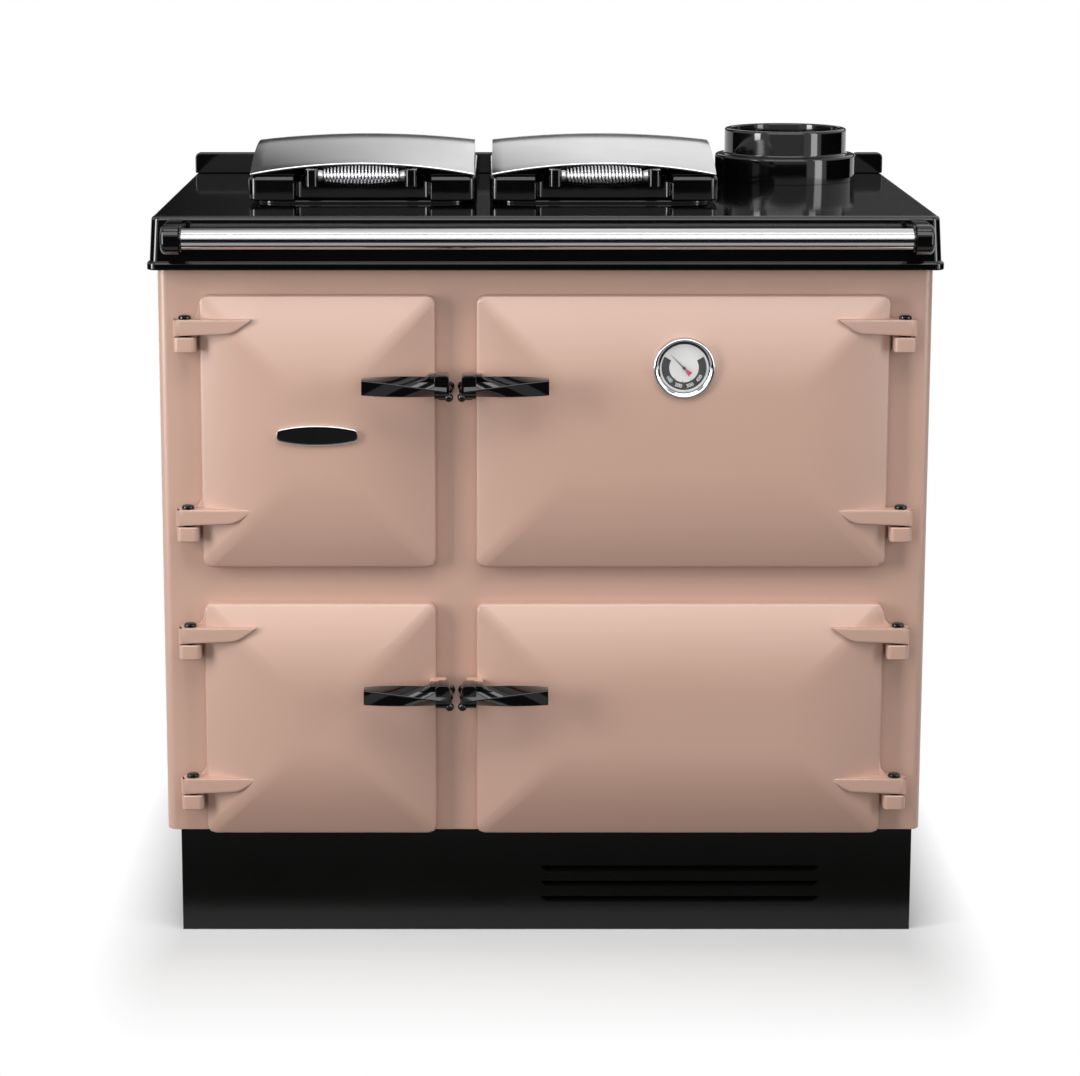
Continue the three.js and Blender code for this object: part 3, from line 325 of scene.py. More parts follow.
def coated(name, thin, thick, rough, depth, pattern, **sockets):
    """A material between two close colours and two roughnesses, with bumps of a depth in metres; pattern(tree) gives
    the outputs that steer colour, roughness and height."""
    made = bpy.data.materials.new(name)
    tree = tree_of(made)
    cloud, rub, height = pattern(tree)
    bump = node(tree, "Bump", {"Distance": depth, "Height": height}).outputs[0]
    look = {"Base Color": mixed(tree, cloud, thin, thick), "Roughness": ranged(tree, rub, *rough), "Normal": bump}
    put_out(tree, node(tree, "BsdfPrincipled", look | sockets))
    made.diffuse_color = (*thick, 1)
    return made


def finish(name, thin, thick, rough, ripple, cloud, depth, grain=0.0006, share=0.0, **sockets):
    """A rippled skin; ripple, cloud and grain are sizes in metres."""
    def skin(tree):
        made = node(tree, "Group", node_tree=rippled_skin)
        for socket, value in zip(made.inputs, (ripple, cloud, grain, share)):
            socket.default_value = value
        return [made.outputs[key] for key in ("Cloud", "Rub", "Height")]
    return coated(name, thin, thick, rough, depth, skin, **sockets)


def grey(value):
    return (value,) * 3


# %% Enamels, paints and dull metals
body_enamel = finish("body_enamel", (0.548, 0.346, 0.269), (0.525, 0.328, 0.253), (0.36, 0.42),
                     0.018, 0.25, 0.0001, IOR=1.85)
black_enamel = finish("black_enamel", (0.003, 0.003, 0.0034), (0.002, 0.002, 0.0024), (0.05, 0.09),
                      0.03, 0.2, 0.00006)
lid_enamel = finish("lid_enamel", grey(0.003), grey(0.002), (0.06, 0.12), 0.02, 0.1, 0.0001)
lever_enamel = finish("lever_enamel", grey(0.003), grey(0.002), (0.06, 0.12), 0.008, 0.05, 0.00005)
plinth_paint = finish("plinth_paint", (0.0022, 0.0019, 0.0016), (0.0015, 0.0013, 0.0011), (0.22, 0.28),
                      0.004, 0.2, 0.00003, grain=0.0012, share=0.5, **{"Specular IOR Level": 0.4})
dark_iron = finish("dark_iron", (0.030, 0.028, 0.027), (0.018, 0.017, 0.016), (0.5, 0.7),
                   0.012, 0.08, 0.0002, grain=0.0016, share=0.8, Metallic=0.2)
oven_enamel = finish("oven_enamel", (0.020, 0.021, 0.024), (0.012, 0.012, 0.014), (0.22, 0.34),
                     0.01, 0.09, 0.00015, grain=0.002, share=0.3)
zinc_sheet = finish("zinc_sheet", (0.42, 0.43, 0.44), (0.30, 0.31, 0.32), (0.32, 0.5),
                    0.03, 0.035, 0.00004, Metallic=1.0)
shelf_steel = finish("shelf_steel", grey(0.55), grey(0.44), (0.22, 0.34), 0.01, 0.03, 0.00003, Metallic=1.0)
print(len(bpy.data.materials), "materials so far")

# %% [markdown]
# Polished steel is drawn or spun, so fine lines run one way along it. They are too fine to model, so they are a noise
# that is stretched along one axis, which feeds the roughness and a very slight bump.

# %% Brushed and polished metals


def brushed(name, thin, thick, rough, stretch, depth):
    """A metal with lines; stretch gives the lines' length along x, y and z in metres."""
    def lines(tree):
        lay = node(tree, "Mapping", {"Scale": [1 / length for length in stretch], "Vector": spot(tree)})
        return [node(tree, "TexNoise", {"Scale": 1, "Detail": 4, "Vector": lay.outputs[0]}).outputs[0]] * 3
    return coated(name, thin, thick, rough, depth, lines, Metallic=1)


dome_steel = brushed("dome_steel", (0.66, 0.66, 0.67), (0.58, 0.58, 0.59), (0.12, 0.2), grey(0.05), 0.000005)
rail_steel = brushed("rail_steel", (0.62, 0.62, 0.63), (0.54, 0.54, 0.55), (0.08, 0.14),
                     (0.2, 0.0008, 0.0008), 0.000004)
bright_chrome = brushed("bright_chrome", (0.66, 0.66, 0.68), (0.6, 0.6, 0.62), (0.05, 0.09), grey(0.02), 0.000002)
bare_steel = brushed("bare_steel", grey(0.5), grey(0.4), (0.25, 0.36), grey(0.004), 0.00001)
print(len(bpy.data.materials), "materials in all")

# %% [markdown]
# ## Working by hand, in code
#
# Every new piece starts as a primitive of the right size and is shaped in edit mode, as it would be with the mouse.
# In code, faces and edges are chosen by where they lie. The helpers below start a block, choose a part of it, round
# its edges, cut it, and hand the finished piece over to the body that it moves with.

# %% Start a block
TOLERANCE = 0.06  # mm, for finding parts by their place


def only(piece):
    """Selects one piece and nothing else."""
    deselect()
    piece.select_set(True)
    bpy.context.view_layer.objects.active = piece


def settled(name):
    """Names the new object and puts its place and size into its mesh."""
    bpy.ops.object.transform_apply(location=True, rotation=True, scale=True)
    piece = bpy.context.object
    piece.name = piece.data.name = name
    return piece


def block(name, x0, x1, depth0, depth1, low, high):
    deselect()
    near, far = at(min(x0, x1), depth0, low), at(max(x0, x1), depth1, high)
    bpy.ops.mesh.primitive_cube_add(size=1, location=(near + far) / 2, scale=far - near)
    return settled(name)


# %% Choose parts by their place


def within(value, wanted):
    if wanted is None:
        return True
    low, high = wanted if isinstance(wanted, tuple) else (wanted, wanted)
    return low - TOLERANCE <= value <= high + TOLERANCE


def lying(x=None, depth=None, z=None, along=None):
    """A test for edges, or for points and faces, by place; along is 0, 1 or 2 for edges, or a face's normal."""
    facing = isinstance(along, tuple)

    def test(first, second):
        if facing and second.dot(Vector(along)) < 0.99:
            return False
        if not facing and along is not None and abs((second - first).normalized()[along]) < 0.999:
            return False
        ends = [first] if facing else [first, second]
        return all(within(v, w) for end in ends for v, w in zip(measured(end), (x, depth, z)))
    return test


def everywhere(*_):
    return True


def enter():
    bpy.ops.object.mode_set(mode="EDIT")


def leave():
    bpy.ops.object.mode_set(mode="OBJECT")


def pick(piece, kind, test):
    """Selects the edges, faces or points that pass a test, and stays in edit mode."""
    only(piece)
    enter()
    bpy.ops.mesh.select_mode(type=kind)
    bpy.ops.mesh.select_all(action="DESELECT")
    leave()
    mesh = piece.data
    for face in mesh.polygons if kind == "FACE" else ():
        face.select = test(face.center, face.normal)
    for line in mesh.edges if kind == "EDGE" else ():
        line.select = test(*(mesh.vertices[i].co for i in line.vertices))
    for point in mesh.vertices if kind == "VERT" else ():
        point.select = test(point.co, point.co)
    enter()


def pushed(run):
    """Extrudes what is chosen, in metres."""
    bpy.ops.mesh.extrude_region_move(TRANSFORM_OT_translate={"value": run})


def stretched(ratio, centre):
    bpy.ops.transform.resize(value=ratio, center_override=centre)


# %% Round edges, cut, join and smooth


def rounded(piece, width, segments, test):
    pick(piece, "EDGE", test)
    bpy.ops.mesh.bevel(offset=width * mm, segments=segments, affect="EDGES")
    leave()
    return piece


def modifier(piece, kind, **settings):
    only(piece)
    bpy.ops.object.modifier_add(type=kind)
    made = piece.modifiers[-1]
    for key, value in settings.items():
        setattr(made, key, value)
    bpy.ops.object.modifier_apply(modifier=made.name)
    return piece


def soften(piece, width, segments=2, degrees=30):
    """A small round on every sharp edge."""
    return modifier(piece, "BEVEL", width=width * mm, segments=segments, limit_method="ANGLE",
                    angle_limit=radians(degrees))


def cut_out(piece, other):
    modifier(piece, "BOOLEAN", object=other, operation="DIFFERENCE", solver="EXACT")
    bpy.data.objects.remove(other)
    return piece


def join(piece, *others):
    only(piece)
    for other in others:
        other.select_set(True)
    bpy.ops.object.join()
    return piece


def merged(piece, gap):
    """Closes seams narrower than a gap in mm."""
    pick(piece, "VERT", everywhere)
    bpy.ops.mesh.remove_doubles(threshold=gap * mm)
    leave()


def outwards(piece):
    """Turns every face outwards."""
    pick(piece, "FACE", everywhere)
    bpy.ops.mesh.normals_make_consistent(inside=False)
    leave()


def smooth(piece, degrees=35, flats=False):
    """Smooth shading up to an angle; flats=True keeps the shading of large flat faces level up to their edges."""
    only(piece)
    bpy.ops.object.shade_smooth_by_angle(angle=radians(degrees))
    return modifier(piece, "WEIGHTED_NORMAL", keep_sharp=True) if flats else piece


# %% Turn a profile on a lathe


def turned(name, profile, centre, axis=2, steps=48):
    """Spins a profile of (radius, height) points, in mm, about an axis through a centre; heights run along it."""
    deselect()
    bpy.ops.mesh.primitive_plane_add(size=mm)
    piece = settled(name)
    enter()
    bpy.ops.mesh.select_mode(type="VERT")
    bpy.ops.mesh.select_all(action="SELECT")
    bpy.ops.mesh.merge(type="CENTER")
    out = Vector((1, 0, 0)) if axis != 0 else Vector((0, 1, 0))
    up = Vector([float(i == axis) for i in range(3)])
    spots = [out * radius * mm + up * height * mm + centre for radius, height in profile]
    bpy.ops.transform.translate(value=spots[0])
    for before, after in zip(spots, spots[1:]):
        pushed(after - before)
    bpy.ops.mesh.select_all(action="SELECT")
    bpy.ops.mesh.spin(steps=steps, angle=2 * pi, center=centre, axis=up)
    leave()
    merged(piece, 0.01)
    outwards(piece)
    return piece


# %% Hand a piece over


def paint(piece, *materials):
    piece.data.materials.clear()
    for material in materials:
        piece.data.materials.append(material)


def handed_over(piece, body, slot, *nodes):
    """Parents a piece to the body that it moves with and hides the CAD nodes that it stands for; the slot is not used.
    """
    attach(piece, body)
    if nodes:
        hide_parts(*nodes)
    print(f"{piece.name}: {len(piece.data.polygons)} faces on {body}")


def finished(piece, body, material, cad_node, slot=None, degrees=35, flats=False):
    """Smooths, paints and hands over a piece. The slot that it passes on is the finish's name, without the number
    Blender may add.
    """
    smooth(piece, degrees, flats)
    paint(piece, material)
    handed_over(piece, body, slot or material.name.partition(".")[0], cad_node)


# %% [markdown]
# ## The body
#
# The front is one flat casting with four openings, and its upright edges are well rounded. A small block stands out
# under each hinge arm and carries its pin. All of it is one enamelled piece, so it is made as one: a slab, four cuts,
# eight blocks, and then one small round on every edge, because molten glass never leaves an edge sharp.

# %% Where the doors are
UPPER, LOWER = {"low": 486.5, "high": 829.5}, {"low": 140, "high": 440}
LEFT, RIGHT = {"hinge": -1, "inner": -427, "outer": -136}, {"hinge": 1, "inner": 426, "outer": -85}
DOORS = {"upper_left": UPPER | LEFT, "upper_right": UPPER | RIGHT,
         "lower_left": LOWER | LEFT, "lower_right": LOWER | RIGHT}
PIN_OUT, PIN_DEPTH = 17, -1.5  # the pin's axis, outside the door's edge and behind the hob's front
ARM_FRONT, ARM_HEIGHT = -12, 20
for door in DOORS.values():
    door["axis"] = door["inner"] + door["hinge"] * PIN_OUT
    door["bearings"] = {"top": door["high"] - 48, "bottom": door["low"] + 56.5}
    door["bar"] = door["high"] - 104.5
    door["hub"] = door["outer"] - door["hinge"] * 9
print({name: (door["axis"], door["hub"]) for name, door in DOORS.items()})

# %% The front casting
BODY_HALF, BODY_LOW, BODY_HIGH = 480, 140, 871.7
BODY_FRONT, BODY_BACK = 20, 36
LAP = 22  # how far a door covers the front round its opening
KNUCKLE_HALF, KNUCKLE_HEIGHT = 13.85, 18.8
front = block("front_casting", -BODY_HALF, BODY_HALF, BODY_FRONT, BODY_BACK, BODY_LOW, BODY_HIGH)
rounded(front, 12, 8, lying(depth=BODY_FRONT, along=2))
for door in DOORS.values():
    x0, x1 = door["inner"] - door["hinge"] * LAP, door["outer"] + door["hinge"] * LAP
    mouth = block("mouth", x0, x1, BODY_FRONT - 10, BODY_BACK + 14, door["low"] + LAP, door["high"] - LAP)
    cut_out(front, rounded(mouth, 9, 5, lying(along=1)))
soften(front, 1.2)
knuckles = []
for door in DOORS.values():
    for bearing in door["bearings"].values():
        top = bearing - 2
        knuckle = block("knuckle", door["axis"] - KNUCKLE_HALF, door["axis"] + KNUCKLE_HALF,
                        ARM_FRONT, BODY_FRONT + 1, top - KNUCKLE_HEIGHT, top)
        rounded(knuckle, 6.5, 4, lying(depth=ARM_FRONT, along=2))
        knuckles.append(soften(knuckle, 1.6, 3))
join(front, *knuckles)
finished(front, "cooker", body_enamel, "front_plate", flats=True)

# %% [markdown]
# ## The doors
#
# Each door is cast as a cushion: its face rises from a thin rim in a curve that levels off towards the middle, and the
# four slopes meet in soft creases at the corners. The slab's front face is inset again and again, each time a little
# further out, which draws that curve. The corners and creases are then rounded in one bevel.

# %% One cushion-shaped slab
RIM_FRONT, RIM_BACK = 5, 19
RISE, REACH = 22, 120  # how high the cushion rises, and over what distance from the rim
RINGS = 14
CREASE = 9  # half the width of a rounded crease


def cushion(name, door):
    x0, x1 = sorted((door["inner"], door["outer"]))
    slab = block(name, x0, x1, RIM_FRONT, RIM_BACK, door["low"], door["high"])
    reach = min(REACH, (min(x1 - x0, door["high"] - door["low"])) / 2 - CREASE)
    pick(slab, "FACE", lying(along=(0, -1, 0)))
    before, risen = 0, 0
    for ring in range(1, RINGS + 1):
        share = (ring / RINGS) ** 1.25
        height = RISE * (1 - (1 - share) ** 2)
        bpy.ops.mesh.inset(thickness=(share - before) * reach * mm, depth=(height - risen) * mm)
        before, risen = share, height
    leave()

    def creases(first, second):
        run = second - first
        slanting = abs(abs(run.x) - abs(run.z)) < 0.02 * mm and abs(run.x) > 0.1 * mm
        return slanting or lying(along=1)(first, second)

    rounded(slab, CREASE, 6, creases)

    def outlines(point):
        x, depth, z = measured(point)
        near = min(x - x0, x1 - x, z - door["low"], door["high"] - z) < 2.8
        return near and within(depth, (RIM_FRONT - 1.6, RIM_FRONT + 0.4))

    rounded(slab, 2.6, 4, lambda a, b: outlines(a) and outlines(b))
    rounded(slab, 1, 2, lying(depth=RIM_BACK))
    pick(slab, "FACE", lying(along=(0, 1, 0)))
    bpy.ops.mesh.inset(thickness=9 * mm, depth=0)
    bpy.ops.mesh.inset(thickness=0.4 * mm, depth=-5.6 * mm)
    leave()
    return slab


# %% The hinge arms, and the hollow curve beside each
ARM_REACH, POINT_BACK = 83, 23  # from the pin to the arm's tip, and how far the tip slants back below
WEB_ACROSS, WEB_UP = 11, 19


def hinge_arm(door, bearing):
    side, axis = -door["hinge"], door["axis"]
    tip, heel = axis + side * ARM_REACH, axis - side * 14.5
    arm = block("arm", heel, tip, ARM_FRONT, 6.5, bearing, bearing + ARM_HEIGHT)
    pick(arm, "EDGE", lying(x=tip, z=bearing))
    bpy.ops.transform.translate(value=Vector((-side * POINT_BACK, 0, 2.6)) * mm)
    leave()
    rounded(arm, 7, 5, lying(x=tip - side * POINT_BACK, along=1))
    rounded(arm, 7, 6, lying(x=heel, along=2))
    rounded(arm, 3.2, 4, lambda a, b: all(abs(measured(p)[1] - ARM_FRONT) < 0.1 for p in (a, b)))
    return arm


def web(door, bearing):
    """The hollow curve between the door's edge and the top of an arm."""
    side, edge, top = -door["hinge"], door["inner"], bearing + ARM_HEIGHT
    corner = edge - side * WEB_ACROSS
    gusset = block("web", corner, edge + side * 2.4, 4.5, 14, top - 2, top + WEB_UP)
    middle = at(corner, 5, top + WEB_UP)
    hollow = turned("hollow", [(0, -20), (WEB_ACROSS, -20), (WEB_ACROSS, 20), (0, 20)], middle, 1, 40)
    pick(hollow, "FACE", everywhere)
    stretched((1, 1, WEB_UP / WEB_ACROSS), middle)
    leave()
    return soften(cut_out(gusset, hollow), 0.8)


# %% Make the four doors
DIAL = (170.5, 742.5)  # the thermometer's middle
DIAL_BORE = 37.4

for name, door in DOORS.items():
    casting = cushion("cushion_door_" + name, door)
    extras = []
    for bearing in door["bearings"].values():
        extras += [hinge_arm(door, bearing), web(door, bearing)]
    ear = block("ear", door["outer"] + door["hinge"] * 8, door["hub"] - door["hinge"] * 4,
                -14, 9, door["bar"] - 4.5, door["bar"] + 8.6)
    join(casting, *extras, soften(ear, 2, 3))
    if name == "upper_right":
        bore = [(0, -30), (DIAL_BORE, -30), (DIAL_BORE, 1.8), (0, 1.8)]
        cut_out(casting, turned("bore", bore, at(DIAL[0], 0, DIAL[1]), 1, 64))
    finished(casting, name + "_door", body_enamel, "door_" + name, degrees=40, flats=True)

# %% [markdown]
# ## Hinge pins
#
# A pin drops through each arm into its knuckle. All that shows is its low domed cap and the thin bearing washer under
# the arm. A pin is a turned part, so it is drawn as half a section and spun once round.

# %% Turn the hinge pins
PIN_PROFILE = [(0, 5.4), (3.5, 5.3), (6.2, 4.7), (7.6, 3.5), (8, 1.8), (7.8, 0.3), (4.5, 0.3), (4.5, -20.3),
               (7.7, -20.3), (8, -20.7), (8, -21.4), (7.7, -21.7), (4.5, -21.7), (4.5, -35), (3.6, -36), (0, -36)]
for name, door in DOORS.items():
    for end, bearing in door["bearings"].items():
        pin = turned(f"turned_pin_{name}_{end}", PIN_PROFILE,
                     at(door["axis"], PIN_DEPTH, bearing + ARM_HEIGHT), 2, 40)
        finished(pin, "cooker", black_enamel, f"hinge_pin_{name}_{end}")

# %% [markdown]
# ## Levers
#
# The levers look like square bars that were gripped at both ends and twisted. That is how they are made here: one end
# face is pushed out step by step and turned a little each time. A shoulder with a hollow curve leads up to the hub.

# %% One twisted bar
BAR_SIDE, BAR_END, BAR_DEPTH = 19, 98, -50
TWIST = radians(68)
STEPS = 30
SWELL, SWELL_START = 0.06, 0.6  # how much the bar swells towards the hub, and from where


def twisted_bar(door):
    side = -door["hinge"]
    start, middle, half = door["hub"] - side * BAR_END, door["bar"], BAR_SIDE / 2
    step_long = side * (BAR_END + 5.5) / STEPS
    bar = block("bar", start, start + side * 0.5, BAR_DEPTH - half, BAR_DEPTH + half, middle - half, middle + half)
    centre = at(start, BAR_DEPTH, middle)
    pick(bar, "FACE", lying(along=(side, 0, 0)))
    swell = 1
    for step in range(1, STEPS + 1):
        pushed((step_long * mm, 0, 0))
        bpy.ops.transform.rotate(value=-TWIST / STEPS, orient_axis="X", center_override=centre)
        wanted = 1 + SWELL * max(0, (step / STEPS - SWELL_START) / (1 - SWELL_START)) ** 2
        stretched((1, wanted / swell, wanted / swell), centre)
        swell = wanted
    leave()
    rounded(bar, 1.5, 3, lambda a, b: abs((b - a).normalized().x) > 0.5)
    rounded(bar, 0.8, 2, lambda a, b: all(abs(measured(p)[0] - start) < 0.1 for p in (a, b)))
    return bar


# %% The hub, with its shoulder, knob, spindle and claw
HUB_FRONT, HUB_BACK, HUB_HALF = -60.5, -32, 9
KNOB = [(0, -5), (2, -4.8), (4.2, -3.6), (5.4, -1.4), (5.6, 0), (5.1, 2.2), (4, 4), (3.4, 22), (0, 22)]
SPINDLE = [(0, 0), (4.1, 0), (4.1, 40), (3.4, 41), (0, 41)]


def hub_of(door):
    side, hub, bar = -door["hinge"], door["hub"], door["bar"]
    low, high = bar - 15, bar + 15.5
    body = block("hub", hub - HUB_HALF, hub + HUB_HALF, HUB_FRONT, HUB_BACK, low, high)
    rounded(body, 9, 5, lying(depth=HUB_FRONT, z=low, along=0))
    rounded(body, 5, 4, lambda a, b: lying(along=1)(a, b) and measured(a)[2] > bar)
    rounded(body, 3, 3, lambda a, b: lying(along=1)(a, b) and measured(a)[2] < bar)
    soften(body, 2.5, 3, 50)
    shoulder = block("shoulder", hub - side * 29, hub - side * 4, HUB_FRONT + 3.5, HUB_BACK - 4, bar - 4, high)
    hollow = turned("hollow", [(0, -70), (18, -70), (18, -20), (0, -20)], at(hub - side * 29, 0, bar + 27), 1, 48)
    soften(cut_out(shoulder, hollow), 1.5, 3)
    knob = turned("knob", KNOB, at(hub + side * 8.5, -55, bar - 12.5), 1, 28)
    spindle = turned("spindle", SPINDLE, at(hub - side * 3, HUB_BACK - 1, bar + 4), 1, 28)
    claw = block("claw", hub - side * 4.5, hub + side * 11.5, HUB_BACK - 6, -16, bar - 18.8, bar - 14.3)
    return join(body, shoulder, knob, spindle, soften(claw, 1))


for name, door in DOORS.items():
    lever = join(hub_of(door), twisted_bar(door))
    lever.name = lever.data.name = "twisted_lever_" + name
    finished(lever, name + "_handle", lever_enamel, "door_handle_" + name, "handle_black", 38)

# %% The studs that the levers hook under
STUD = [(0, -22.5), (2.4, -22.2), (3.9, -21), (4.4, -19.4), (4.1, -17.8), (3.5, -17), (3.5, 15), (5, 16.4),
        (6.4, 17.2), (6.6, 19.7), (0, 19.7)]
for name, door in DOORS.items():
    stud = turned("turned_stud_" + name, STUD, at(door["hub"] - door["hinge"] * 8, 0, door["bar"] - 10.5), 1, 32)
    finished(stud, "cooker", black_enamel, "latch_keep_" + name)

# %% [markdown]
# ## The hob
#
# The hob is a single gloss black casting. Its skirt leans outwards and ends in a lip that throws a bright line. A block
# is widened at its foot and extruded down for the lip, its corners and top edge are rounded, and the pockets for the
# two hotplates and the flue's mouth are cut out of it.

# %% The skirt and lip
HALF, HOB_TOP, HOB_FOOT = 484, 928, 862
SKIRT_OUT, LIP_OUT = 3, 6  # past the top edge
LIP_SLOPE, LIP_HEIGHT = 2.5, 8.5


def widened(before, after):
    """Grows the chosen face from one reach past the top edge to another; the back stays where it is."""
    ratio = ((HALF + after) / (HALF + before), (hob_depth + after) / (hob_depth + before), 1)
    stretched(ratio, at(0, hob_depth, HOB_FOOT))


hob = block("hob_casting", -HALF, HALF, 0, hob_depth, HOB_FOOT + LIP_SLOPE + LIP_HEIGHT, HOB_TOP)
pick(hob, "FACE", lying(along=(0, 0, -1)))
widened(0, SKIRT_OUT)
for drop, before, after in ((LIP_SLOPE, SKIRT_OUT, LIP_OUT), (LIP_HEIGHT, LIP_OUT, LIP_OUT)):
    pushed((0, 0, -drop * mm))
    widened(before, after)
leave()
rounded(hob, 12, 8, lambda a, b: abs((b - a).normalized().z) > 0.4)
rounded(hob, 5, 6, lying(z=HOB_TOP))
for height in (HOB_FOOT + LIP_HEIGHT, HOB_FOOT):
    rounded(hob, 1.4, 3, lying(z=height))
cut_out(hob, block("underside", -HALF + 10, HALF - 10, 10, hob_depth - 10, 850, HOB_TOP - 14))
cut_out(hob, block("rebate", -BODY_HALF - 0.3, BODY_HALF + 0.3, 19.7, 594.3, 850, 872))
FLUE, MOUTH = at(338.5, 480, 0), 75
cut_out(hob, turned("bore", [(0, 900), (MOUTH, 900), (MOUTH, 940), (0, 940)], FLUE, 2, 72))
print("the hob has", len(hob.data.polygons), "faces")

# %% Pockets, rims and lid lugs
LIDS = {"left": -230.5, "right": 76.5}
LID_FRONT, LID_BACK = 140, 470
LID_AXIS = (482, 945)
EAR = 11  # from the lid's axis to the end of a lug or an ear
POCKET_HALF, POCKET_FRONT, POCKET_BACK = 125, 160, 450


def pocket_block(middle, grow, low, high):
    half = POCKET_HALF + grow
    made = block("pocket", middle - half, middle + half, POCKET_FRONT - grow, POCKET_BACK + grow, low, high)
    return rounded(made, 18 + grow, 8, lying(along=2))


extras = []
for middle in LIDS.values():
    cut_out(hob, pocket_block(middle, 0, 900, 940))
    rim = soften(pocket_block(middle, 10, HOB_TOP - 1, HOB_TOP + 4), 1.5, 3)
    extras.append(cut_out(rim, pocket_block(middle, 0, 900, 940)))
    for hand in (-1, 1):
        lug = block("lug", middle + hand * 84, middle + hand * 100, LID_AXIS[0] - EAR, LID_AXIS[0] + EAR,
                    HOB_TOP - 1, LID_AXIS[1] + EAR)
        rounded(lug, EAR - 0.2, 8, lying(z=LID_AXIS[1] + EAR, along=0))
        extras.append(soften(lug, 1.2))
join(hob, *extras)
finished(hob, "cooker", black_enamel, "hob_plate", flats=True)

# %% [markdown]
# ## Flue collar, upstands and towel rail
#
# The collar is a turned shape again: two steps with generous rounds, which catch the light as rings. The upstands are
# plain bars with rounded ends. The rail is a polished tube that sits in two rounded cups.

# %% The flue collar


def arc(radius, height, reach, start, end, count=5):
    """Points of a profile round a corner, between two angles in degrees."""
    angles = [radians(start + (end - start) * i / count) for i in range(count + 1)]
    return [(radius + reach * cos(a), height + reach * sin(a)) for a in angles]


COLLAR = [(MOUTH, 928.3), (96.5, 928.3), *arc(93, 960, 3.5, 0, 90), *arc(86.5, 966.5, 3, 270, 180),
          *arc(80.2, 995.2, 3.3, 0, 90), *arc(77, 996.5, 2, 90, 180), (MOUTH, 928.3)]
finished(turned("flue_ring", COLLAR, FLUE, 2, 96), "cooker", black_enamel, "flue_collar", degrees=40)

# %% The upstands
BAR_TOP = HOB_TOP + 28.5
for name, x0, x1 in (("left", -HALF, 234), ("right", 441.5, HALF)):
    bar = block("upstand_bar_" + name, x0, x1, 560, 574, HOB_TOP, BAR_TOP)
    rounded(bar, 7, 6, lying(z=BAR_TOP, along=1))
    finished(soften(bar, 1.8, 3), "cooker", black_enamel, "upstand_" + name, flats=True)

# %% The towel rail
RAIL = (-55, 906.5)
CUP_FRONT, CUP_HALF, CUP_WIDE = -73, 18, 22
TUBE = [(0, -457), (12.1, -457), (12.7, -456.4), (12.7, 458.4), (12.1, 459), (0, 459)]
BEAD = [(12.8, 0), (15.2, 0), (15.9, -1), (15.6, -2.4), (14.4, -3), (12.8, -3), (12.8, 0)]
finished(turned("polished_rail", TUBE, at(0, *RAIL), 0, 72), "cooker", rail_steel, "rail_tube")
for name, hand, inner in (("left", -1, -443), ("right", 1, 445)):
    outer = inner + hand * CUP_WIDE
    cup = block("rail_cup_" + name, inner, outer, CUP_FRONT, 0, RAIL[1] - CUP_HALF, RAIL[1] + CUP_HALF)
    rounded(cup, 14, 8, lying(depth=CUP_FRONT, along=0))
    rounded(cup, 5.5, 5, lying(x=outer))
    rounded(cup, 1.2, 2, lying(x=inner))
    bead = turned("bead", [(radius, hand * along) for radius, along in BEAD], at(inner, *RAIL), 0, 48)
    join(cup, bead)
    finished(cup, "cooker", black_enamel, "rail_bracket_" + name, flats=True)

# %% [markdown]
# ## The lids
#
# Each lid is a black casting under a polished steel dome. The dome is a sheet that arches across the front and swells
# towards the middle, so it is a grid whose points are lifted by one formula, with its edges turned down and a real
# thickness. The same formula, a little lower, makes the black core that closes the arch.

# %% The dome's surface
LID_HALF, DOME_HALF = 145, 142


def dome_height(x, depth):
    swell = 1 - ((depth - 305) / 165) ** 2
    return 967 + 14 * (1 - (x / LID_HALF) ** 2) * (1 - 0.43 * swell) + 28 * swell


def lifted_grid(name, middle, half, depth0, depth1, drop, corner):
    """A grid with two rounded back corners, lifted to the dome's surface less a drop."""
    deselect()
    centre = at(middle, (depth0 + depth1) / 2, 0)
    bpy.ops.mesh.primitive_grid_add(x_subdivisions=20, y_subdivisions=22, size=1, location=centre)
    bpy.ops.transform.resize(value=(2 * half * mm, (depth1 - depth0) * mm, 1))
    piece = settled(name)
    for x in (middle - half, middle + half):
        pick(piece, "VERT", lying(x=x, depth=depth1))
        bpy.ops.mesh.bevel(offset=corner * mm, segments=6, affect="VERTICES")
        leave()
    for point in piece.data.vertices:
        x, depth, _ = measured(point.co)
        point.co.z = (dome_height(x - middle, depth) - drop) * mm
    return piece


def turn_down(piece, foot, test):
    """Draws an edge of a sheet straight down to a level."""
    pick(piece, "EDGE", test)
    pushed((0, 0, 0))
    stretched((1, 1, 0), (0, 0, foot * mm))
    leave()


def on_border(piece, extra):
    """A test for edges that belong to one face only, and that pass one more test."""
    count = {}
    for face in piece.data.polygons:
        for key in face.edge_keys:
            count[key] = count.get(key, 0) + 1
    points = piece.data.vertices
    known = {tuple(round(v, 7) for i in ends for v in points[i].co)
             for a, b in count if count[a, b] == 1 for ends in ((a, b), (b, a))}

    def test(first, second):
        return tuple(round(v, 7) for v in (*first, *second)) in known and extra(measured(first), measured(second))
    return test


